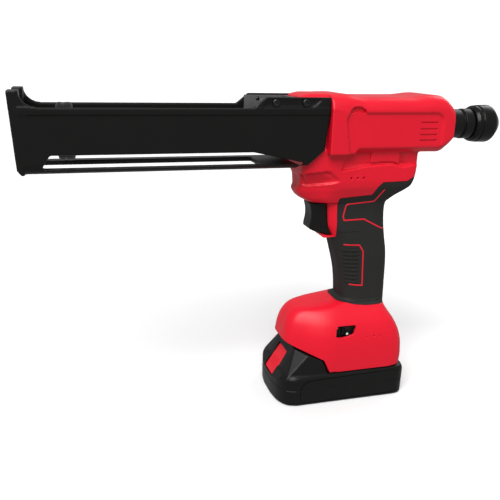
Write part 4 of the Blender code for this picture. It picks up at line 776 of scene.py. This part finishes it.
def on_surface(name, skin, side, points, width, proud, sunk=0.0008):
    """A strip laid along the points on one side of a piece, following its surface."""
    rings = []
    for i, here in enumerate(points):
        ahead = (points[min(i + 1, len(points) - 1)] - points[max(i - 1, 0)]).normalized()
        across = Vector((-ahead.y, ahead.x)) * width / 2
        edge = []
        for offset in (across, -across):
            u, w = here + offset
            hit = skin.ray_cast(Vector((u, side * 0.08, w)), Vector((0, -side, 0)))[0]
            if hit is None:
                break
            edge.append(hit.y)
        if len(edge) < 2:
            if rings:
                break
            continue
        a, b = here + across, here - across
        inner = 0.72
        top = (edge[0] + edge[1]) / 2 + side * proud
        mid_a, mid_b = here + across * inner, here - across * inner
        rings.append([
            (a.x, edge[0] - side * sunk, a.y), (a.x, edge[0] + side * proud * 0.4, a.y),
            (mid_a.x, edge[0] + side * proud, mid_a.y), (here.x, top, here.y),
            (mid_b.x, edge[1] + side * proud, mid_b.y),
            (b.x, edge[1] + side * proud * 0.4, b.y), (b.x, edge[1] - side * sunk, b.y),
        ])
    return loft(name, rings)


def grip_trim(cover, side, word):
    """Red lines that show through the rubber, and the ribs under the fingers."""
    skin = BVHTree.FromObject(cover, bpy.context.evaluated_depsgraph_get())
    upper = ((0.0289, 0.1997), (0.0221, 0.1880), (-0.0030, 0.1860), (-0.0046, 0.1848), (-0.0065, 0.1751),
             (-0.0054, 0.1713), (0.0139, 0.1717), (0.0300, 0.1634), (0.0345, 0.1615))
    lower = ((-0.0037, 0.1482), (0.0115, 0.1473), (0.0157, 0.1410), (0.0176, 0.1075), (0.0048, 0.1090))
    for number, line in enumerate((upper, lower)):
        name = f"{word}_grip_line_{number + 1}"
        strip = on_surface(name, skin, side, spaced(line, STRIP_STEP), 0.00125, 0.00022)
        fitted(strip, "housing", "red_plastic", RED_FINISH)
    ribs = []
    for number in range(9):
        z = 0.1115 + number * 0.0039
        lean = 0.0052 * (number / 8)
        line = [(0.0012 - lean, z), (0.0125 - lean * 0.25, z)]
        ribs.append(on_surface("rib", skin, side, spaced(line, STRIP_STEP), 0.0022, 0.0009))
    upper_seam, lower_seam = ((-0.0095, 0.1612), (0.0095, 0.1614)), ((0.0060, 0.0930), (0.0360, 0.0932))
    ribs.append(on_surface("rib", skin, side, spaced(upper_seam, STRIP_STEP), 0.0014, 0.0005))
    ribs.append(on_surface("rib", skin, side, spaced(lower_seam, STRIP_STEP), 0.0016, 0.0006))
    fitted(together(f"{word}_grip_ribs", ribs), "housing", "rubber", RUBBER_FINISH)


# ---------------------------------------------------------------- tray
def cradle():
    made = copy_of(frame["nodes"]["cartridge_tray"], "cartridge_cradle")
    skin = moulding("cartridge_cradle", [made], 0.00092, 3)
    rim_low = AXIS_Z + 0.0148
    rear = TRAY_HIGH.x + 0.01
    cuts = []
    for side in (-1, 1):
        face = side * 0.0292
        groove = ((face + side * 0.0012, rim_low - 0.0004), (face - side * 0.0005, rim_low),
                  (face + side * 0.0012, rim_low + 0.0004))
        cuts.append(prism("rim_groove", groove, "YZ", TRAY_LOW.x + 0.0130, rear))
    worked(skin, cuts)
    fitted(skin, "housing", "black_plastic", BLACK_FINISH, "cartridge_tray")


def driven_screw(name, body, slot, node, outward, finish, flats=6):
    """A screw with a domed head and a driver socket, in the place of its plain node."""
    low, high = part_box(node)
    axis = {0: "x", 1: "y"}[0 if abs(outward[0]) > 0.5 else 1]
    x, y, z = (low + high) / 2
    out = Vector(outward)
    head_radius = (high.z - low.z) / 2
    top = high if out[0 if axis == "x" else 1] > 0 else low
    seat = Vector((top.x, y, z)) if axis == "x" else Vector((x, top.y, z))
    side = Vector((0, 0, 1))
    across = out.cross(side)
    count = 48
    length = (high.x - low.x) if axis == "x" else (high.y - low.y)
    shank = 0.0015 if head_radius < 0.0039 else 0.0020
    rows = [
        (-length, shank * 0.5, None), (-length + 0.0006, shank, None), (-0.0022, shank, None),
        (-0.00215, head_radius * 0.97, None), (-0.0010, head_radius, None),
        (-0.0004, head_radius * 0.92, None), (-0.00008, head_radius * 0.76, None),
        (0.0, head_radius * 0.62, None), (-0.00015, head_radius * 0.50, flats),
        (-0.0013, head_radius * 0.46, flats),
        (-0.0015, head_radius * 0.1, None),
    ]
    rings = []
    for rise, radius, corners in rows:
        ring = []
        for k in range(count):
            angle = math.tau * k / count
            reach = radius
            if corners:
                part = math.tau / corners
                reach = radius * math.cos(part / 2) / math.cos((angle % part) - part / 2)
            ring.append(seat + out * rise + side * reach * math.cos(angle) + across * reach * math.sin(angle))
        rings.append(ring)
    fitted(loft(name, rings), body, slot, finish, node, angle=30)


def push_rod_parts():
    centre = (0.0, ROD_Z)
    back, front = KNOB_HIGH.x - 0.0022, KNOB_LOW.x
    radius = (KNOB_HIGH.z - KNOB_LOW.z) / 2
    knob = turned("knob", (
        (front, 0.0060, 0), (front, radius - 0.0026, 0.0006), (front + 0.0026, radius - 0.0008, 0.0012),
        (front + 0.0052, radius - 0.0006, 0.0004), (front + 0.0057, radius - 0.0013, 0.0003),
        (front + 0.0065, radius - 0.0013, 0.0003), (front + 0.0070, radius - 0.0003, 0.0006),
        (back - 0.0076, radius, 0.0022), (back - 0.0014, radius - 0.0062, 0.0020),
        (back, radius - 0.0078, 0.0008),
        (back, 0.0075, 0.0004), (back - 0.0006, 0.0068, 0.0004), (back - 0.0006, 0.0002, 0),
    ), centre)
    fitted(knob, "rod", "black_plastic", GLOSSY_BLACK, "pull_knob", angle=30)
    radius = (PISTON_HIGH.z - PISTON_LOW.z) / 2
    front, back = PISTON_LOW.x, PISTON_HIGH.x
    piston = turned("piston", (
        (front + 0.0026, 0.0043, 0), (front, 0.0046, 0.0003), (front, radius - 0.0022, 0.0012),
        (front + 0.0016, radius, 0.0010), (front + 0.0044, radius, 0.0003),
        (front + 0.0048, radius - 0.0010, 0.0003), (front + 0.0066, radius - 0.0010, 0.0003),
        (front + 0.0070, radius, 0.0003), (back - 0.0016, radius, 0.0010), (back, radius - 0.0022, 0.0012),
        (back, radius - 0.0070, 0.0006), (back - 0.0030, radius - 0.0085, 0.0006),
        (back - 0.0030, 0.0090, 0.0004),
        (back - 0.0002, 0.0088, 0.0004), (back - 0.0002, 0.0042, 0),
    ), (0.0, AXIS_Z))
    fitted(piston, "rod", "black_plastic", BLACK_FINISH, "piston_plate", angle=30)
    driven_screw("piston_bolt", "rod", "steel", "piston_screw", (-1, 0, 0), SCREW_FINISH)


def guide_sleeve():
    front, back = SLEEVE_LOW.x, SLEEVE_HIGH.x
    radius = (SLEEVE_HIGH.z - SLEEVE_LOW.z) / 2
    wall = SHELL_HIGH.x
    made = turned("guide_sleeve", (
        (front, 0.0060, 0), (front, radius - 0.0012, 0.0003), (front + 0.0029, radius - 0.0012, 0.0003),
        (front + 0.0030, 0.0093, 0.0), (wall + 0.0003, 0.0093, 0.0), (wall + 0.0004, radius, 0.0004),
        (wall + 0.0030, radius, 0.0004), (wall + 0.0036, radius - 0.0009, 0.0004),
        (back - 0.0120, radius - 0.0009, 0.0003), (back - 0.0114, radius - 0.0018, 0.0003),
        (back - 0.0100, radius - 0.0018, 0.0003), (back - 0.0094, radius - 0.0003, 0.0004),
        (back - 0.0010, radius - 0.0003, 0.0008), (back, radius - 0.0014, 0.0005), (back, 0.0060, 0),
    ), (0.0, ROD_Z))
    half_y, half_z = (ROD_HIGH.y - ROD_LOW.y) / 2 + 0.0004, (ROD_HIGH.z - ROD_LOW.z) / 2 + 0.0004
    bore = block("bore", (front - 0.01, -half_y, ROD_Z - half_z), (back + 0.01, half_y, ROD_Z + half_z))
    worked(made, [bore])
    fitted(made, "housing", "black_plastic", BLACK_FINISH, "rear_guide_sleeve", angle=30)


# ---------------------------------------------------------------- trigger and foot switch
def trigger():
    outline = eased_corners([
        (-0.0356, 0.1862, 0.001), (-0.0338, 0.1800, 0.006), (-0.0333, 0.1730, 0.006),
        (-0.0348, 0.1660, 0.004), (-0.0352, 0.1626, 0.002), (-0.0288, 0.1594, 0.003),
        (-0.0172, 0.1563, 0.002), (-0.0126, 0.1563, 0.001),
        (-0.0126, 0.1862, 0.001),
    ], 6)
    body = prism("trigger_blank", outline, "XZ", TRIGGER_LOW.y + 0.0001, TRIGGER_HIGH.y - 0.0001)
    made = moulding("trigger_lever", [body], 0.0005, 12)
    scoop = ((-0.0300, 0.1640), (-0.0180, 0.1600), (-0.0180, 0.1840), (-0.0300, 0.1840))
    worked(made, side_pair("side_scoop", scoop, 0.0098 * 0.88, 0.0098))
    worked(made, [bar("plunger", "X", (0.0, 0.1720), 0.0022, -0.0135, 0.0000)], "UNION")
    fitted(made, "trigger", "black_plastic", BLACK_FINISH, "trigger")


def mode_slider():
    low, high = SLIDER_LOW, SLIDER_HIGH
    cap_front, cap_rear, margin = -0.0046, -0.0004, 0.0003
    base = block("slider_base", (-0.0065, high.y - 0.0022, low.z), (0.0015, high.y, high.z))
    cap_low = (cap_front, low.y + 0.0008, low.z + margin)
    ridges = [block("slider_cap", cap_low, (cap_rear, high.y - 0.0010, high.z - margin))]
    for k in range(4):
        z = low.z + 0.0012 + k * 0.0016
        ridges.append(block("slider_ridge", (cap_front, low.y, z), (cap_rear, low.y + 0.0012, z + 0.0008)))
    made = moulding("slider_button", [base] + ridges, 0.00022, 2)
    fitted(made, "mode_slider", "black_plastic", BLACK_FINISH, "mode_slider")
    dot = turned_dot("slider_mark", (-0.0025, low.y + 0.0007, low.z + 0.0021), 0.0011)
    fitted(dot, "mode_slider", "black_plastic", DOT_FINISH)


def turned_dot(name, place, radius):
    x, y, z = place
    rings = []
    for depth, size in ((0.0010, 1.0), (-0.0008, 1.0), (-0.0010, 0.85), (-0.00112, 0.5), (-0.00115, 0.1)):
        reach = size * radius
        rings.append([
            (x + reach * math.cos(math.tau * k / 24), y + depth, z + reach * math.sin(math.tau * k / 24))
            for k in range(24)
        ])
    return loft(name, rings)


# ---------------------------------------------------------------- battery
def battery_plan(inset, z):
    """The pack seen from above, with square rear corners and a nose that bulges forward."""
    half = CASE_HIGH.y - 0.0005 - inset
    rear, front = CASE_HIGH.x - inset, CASE_LOW.x - 0.0010 + inset
    right = (
        (rear, half, 0.012), (front + 0.0150, half, 0.005), (front + 0.0070, half - 0.0040, 0.005),
        (front + 0.0022, half - 0.0130, 0.006), (front, half - 0.0270, 0.008),
    )
    corners = right + tuple((x, -y, reach) for x, y, reach in reversed(right))
    return [(x, y, z) for x, y in eased_corners(corners, 6)]


CASE_SPLIT = CASE_HIGH.z
CHEEK = (
    (-0.0460, 0.0028), (0.0490, 0.0030), (0.0560, 0.0080), (0.0568, 0.0200), (0.0500, 0.0272),
    (-0.0400, 0.0252), (-0.0465, 0.0190),
)


def cheek_lines(low, high):
    """The line round the raised panel on each side of the pack, between two heights."""
    outline = eased_corners([(x, z, 0.005) for x, z in CHEEK], 5)
    cuts = []
    for side in (-1, 1):
        ring = stroke(outline + outline[:1], 0.0009)
        count = len(ring) // 2
        quads = []
        for k in range(count - 1):
            quad = (ring[k], ring[k + 1], ring[-2 - k], ring[-1 - k])
            if low - 0.001 < min(z for x, z in quad) and max(z for x, z in quad) < high + 0.001:
                depth = sorted((side * (CASE_HIGH.y - 0.0012), side * 0.05))
                quads.append(prism("cheek_line", quad, "XZ", *depth))
        cuts += quads
    return cuts


def battery():
    base = ((0.0002, 0.0011), (0.0012, 0.0002), (CASE_SPLIT, 0.0))
    lower = loft("lower_blank", [battery_plan(inset, z) for z, inset in base])
    made = moulding("battery_lower_shell", [lower], CASE_GRAIN, 4)
    worked(made, [
        block("lower_trim", (-0.1, -0.1, CASE_SPLIT - 0.0001), (0.1, 0.1, 0.03)),
        loft("lower_hollow", [battery_plan(CASE_WALL, z) for z in (0.0026, 0.03)]),
    ] + cheek_lines(0.0, CASE_SPLIT))
    fitted(made, "battery", "black_plastic", BLACK_FINISH, "battery_lower_case")
    deck = ((CASE_SPLIT - 0.003, 0.0), (0.0262, 0.0), (0.0290, 0.0012), (0.0300, 0.0040))
    upper_parts = [loft("upper_blank", [battery_plan(inset, z) for z, inset in deck]), hood("hood_blank")]
    upper = moulding("battery_upper_shell", upper_parts, CASE_GRAIN, 3, [front_slope()])
    worked(upper, [block("upper_trim", (-0.1, -0.1, 0.0), (0.1, 0.1, CASE_SPLIT + 0.0002))])
    worked(upper, [rail("rail")], "UNION")
    space = [[(max(x, -0.0480), y, z) for x, y, z in battery_plan(CASE_WALL, h)] for h in (0.01, 0.0276)]
    worked(upper, rail_cuts() + [
        loft("upper_hollow", space),
        tilted("button_pocket", 0.0139, 0.0115, -0.0080, 0.03, 0.0),
    ] + cheek_lines(CASE_SPLIT, 0.05))
    fitted(upper, "battery", "black_plastic", BLACK_FINISH, "battery_upper_case")
    release_button()


def front_slope():
    """What is cut away in front of the sloping face that holds the button."""
    return prism("front_slope", (
        (CASE_LOW.x - 0.0030, 0.0172), (-0.0900, 0.0172), (-0.0900, 0.0700), (-0.0462, 0.0540),
    ), "XZ", -0.05, 0.05)


def hood(name):
    """The raised front of the pack that fills the space under the foot's stepped edge."""
    front = CASE_LOW.x
    points = []
    for side in (-1, 1):
        points += [
            (-0.0180, side * 0.0360, 0.0260), (-0.0244, side * 0.0348, 0.0422),
            (-0.0384, side * 0.0325, 0.0482), (-0.0480, side * 0.0205, 0.0513),
            (front + 0.0002, side * 0.0160, 0.0190), (front + 0.0060, side * 0.0345, 0.0262),
            (-0.0530, side * 0.0368, 0.0190), (-0.0180, side * 0.0378, 0.0150),
            (front + 0.0030, side * 0.0240, 0.0140),
        ]
    return hull(name, points)


def rail(name):
    return block(name, (-0.0300, -0.0215, 0.0280), (0.0450, 0.0215, 0.0430))


def rail_cuts():
    cuts = []
    for side in (-1, 1):
        low, high = sorted((side * 0.0180, side * 0.0250))
        cuts.append(block("rail_groove", (-0.0150, low, 0.0330), (0.06, high, 0.0380)))
    for k in range(5):
        y = -0.0120 + k * 0.0060
        cuts.append(block("contact_slot", (0.0180, y - 0.0009, 0.0380), (0.0460, y + 0.0009, 0.0450)))
    return cuts


BUTTON_CENTRE = Vector((-0.0578, 0.0, 0.0313))
BUTTON_TILT = math.radians(56)


def tilted(name, half_up, half_across, low, high, reach, steps=5):
    turn = Matrix.Rotation(-BUTTON_TILT, 3, "Y")
    corners = ((half_up, half_across, reach), (-half_up, half_across, reach), (-half_up, -half_across, reach),
               (half_up, -half_across, reach))
    ring = eased_corners(corners, steps) if reach else [corner[:2] for corner in corners]
    return loft(name, [[turn @ Vector((u, v, w)) + BUTTON_CENTRE for u, v in ring] for w in (low, high)])


def release_button():
    turn = Matrix.Rotation(-BUTTON_TILT, 3, "Y")
    blank = tilted("button_blank", 0.0133, 0.0109, -0.0035, 0.0008, 0.0018)
    made = moulding("release_key", [blank], 0.0004, 5)
    dip = []
    for k in range(4):
        u = -0.0060 + k * 0.0022
        ring = [(u - 0.0004, -0.0070), (u + 0.0004, -0.0070), (u + 0.0004, 0.0070), (u - 0.0004, 0.0070)]
        rings = [[turn @ Vector((a, b, w)) + BUTTON_CENTRE for a, b in ring] for w in (0.0002, 0.01)]
        dip.append(loft("key_line", rings))
    worked(made, dip)
    fitted(made, "release_button", "red_plastic", RED_FINISH, "release_button")


# ---------------------------------------------------------------- pieces shown as they were made
def dressed(node, finish, bevel=0.0):
    obj = frame["nodes"][node]
    obj.data.materials.clear()
    obj.data.materials.append(finish)
    if bevel:
        edge = obj.modifiers.new("edge", "BEVEL")
        edge.width = bevel
        edge.segments = 2
        edge.limit_method = "ANGLE"
        edge.angle_limit = math.radians(40)


def dress_frame():
    finishes = {
        "black_plastic": BLACK_FINISH, "red_plastic": RED_FINISH, "rubber": RUBBER_FINISH,
        "steel": STEEL_FINISH, "bright_steel": SCREW_FINISH, "zinc_plate": STEEL_FINISH,
        "copper": COPPER_FINISH, "cast_alloy": ALLOY_FINISH, "board": BOARD_FINISH, "cell_wrap": CELL_FINISH,
    }
    for part in frame["record"]["subparts"]:
        dressed(part["node"], finishes[part["material_slot"]])
    dressed("push_rod", ROD_FINISH, 0.00025)
    dressed("tray_bracket", STEEL_FINISH, 0.0003)
    dressed("front_rod_bush", BLACK_FINISH, 0.0003)


# ---------------------------------------------------------------- room
def floor():
    """A pale floor that sweeps up far off on every side, so that no horizon shows."""
    reach, rise = 14.0, 9.0
    profile = [(0.0, 0.0), (reach * 0.5, 0.0)]
    for step in range(1, 13):
        angle = math.pi / 2 * step / 12
        profile.append((reach * 0.5 + reach * 0.5 * math.sin(angle), rise * (1 - math.cos(angle))))
    bm = bmesh.new()
    count = 64
    angles = [math.tau * k / count for k in range(count)]
    centre = bm.verts.new((0, 0, 0))
    rows = [
        [bm.verts.new((r * math.cos(angle), r * math.sin(angle), z)) for angle in angles]
        for r, z in profile[1:]
    ]
    for k in range(count):
        bm.faces.new((centre, rows[0][k], rows[0][(k + 1) % count]))
        for first, second in zip(rows, rows[1:]):
            bm.faces.new((first[k], second[k], second[(k + 1) % count], first[(k + 1) % count]))
    for face in bm.faces:
        face.smooth = True
    made = solid("floor", bm)
    made.location = (0.0, 0.0, -0.0002)
    finish = Finish("pale_floor", (0.90, 0.90, 0.90), 0.9)
    finish.set({"Specular IOR Level": 0.1, "Roughness": 0.85 + finish.noise(8.0) * 0.1})
    made.data.materials.append(finish.material)
    made.visible_diffuse = False
    made.visible_glossy = False


def lamp(name, place, aim, size, power):
    data = bpy.data.lights.new(name, "AREA")
    data.shape = "RECTANGLE"
    data.size, data.size_y = size
    data.energy = power
    obj = bpy.data.objects.new(name, data)
    obj.location = place
    obj.rotation_euler = (Vector(aim) - Vector(place)).to_track_quat("-Z", "Y").to_euler()
    bpy.context.scene.collection.objects.link(obj)


def room():
    floor()
    world = bpy.context.scene.world or bpy.data.worlds.new("room")
    bpy.context.scene.world = world
    world.use_nodes = True
    back = world.node_tree.nodes["Background"]
    back.inputs["Color"].default_value = (1.0, 1.0, 1.0, 1.0)
    back.inputs["Strength"].default_value = 0.42
    sun = bpy.data.lights.new("broad_key", "SUN")
    sun.energy = 4.2
    sun.angle = math.radians(48)
    key = bpy.data.objects.new("broad_key", sun)
    key.rotation_euler = Vector((0.38, 0.60, -0.70)).to_track_quat("-Z", "Y").to_euler()
    bpy.context.scene.collection.objects.link(key)
    lamp("rim_light", (0.9, 0.5, 0.9), (0.0, 0.0, 0.2), (0.6, 0.6), 3.0)
    bpy.context.scene.view_settings.view_transform = "Standard"


def camera():
    yaw, pitch, roll = math.radians(15.8), math.radians(17.5), math.radians(1.4)
    ahead = Vector((math.sin(yaw) * math.cos(pitch), math.cos(yaw) * math.cos(pitch), -math.sin(pitch)))
    right = Vector((math.cos(yaw), -math.sin(yaw), 0.0))
    up = right.cross(ahead)
    right_rolled = right * math.cos(roll) + up * math.sin(roll)
    up_rolled = up * math.cos(roll) - right * math.sin(roll)
    data = bpy.data.cameras.new("camera")
    data.sensor_width = 36.0
    data.lens = 43.9
    obj = bpy.data.objects.new("camera", data)
    obj.matrix_world = Matrix.Translation((-0.2299, -0.5036, 0.3083)) @ Matrix(
        (right_rolled, up_rolled, -ahead)
    ).transposed().to_4x4()
    bpy.context.scene.collection.objects.link(obj)
    bpy.context.scene.camera = obj


def build():
    dress_frame()
    grip_and_shells()
    cradle()
    for node in (n for n in frame["nodes"] if n.startswith("tray_screw")):
        side = 1 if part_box(node)[0].y > 0 else -1
        name = node.replace("tray_screw", "cradle_bolt")
        driven_screw(name, "housing", "bright_steel", node, (0, side, 0), DARK_SCREW_FINISH)
    for node in SCREWS:
        name = node.replace("housing_screw", "shell_screw")
        driven_screw(name, "housing", "steel", node, (0, 1, 0), DARK_SCREW_FINISH)
    push_rod_parts()
    guide_sleeve()
    trigger()
    mode_slider()
    battery()
    room()
    camera()


build()
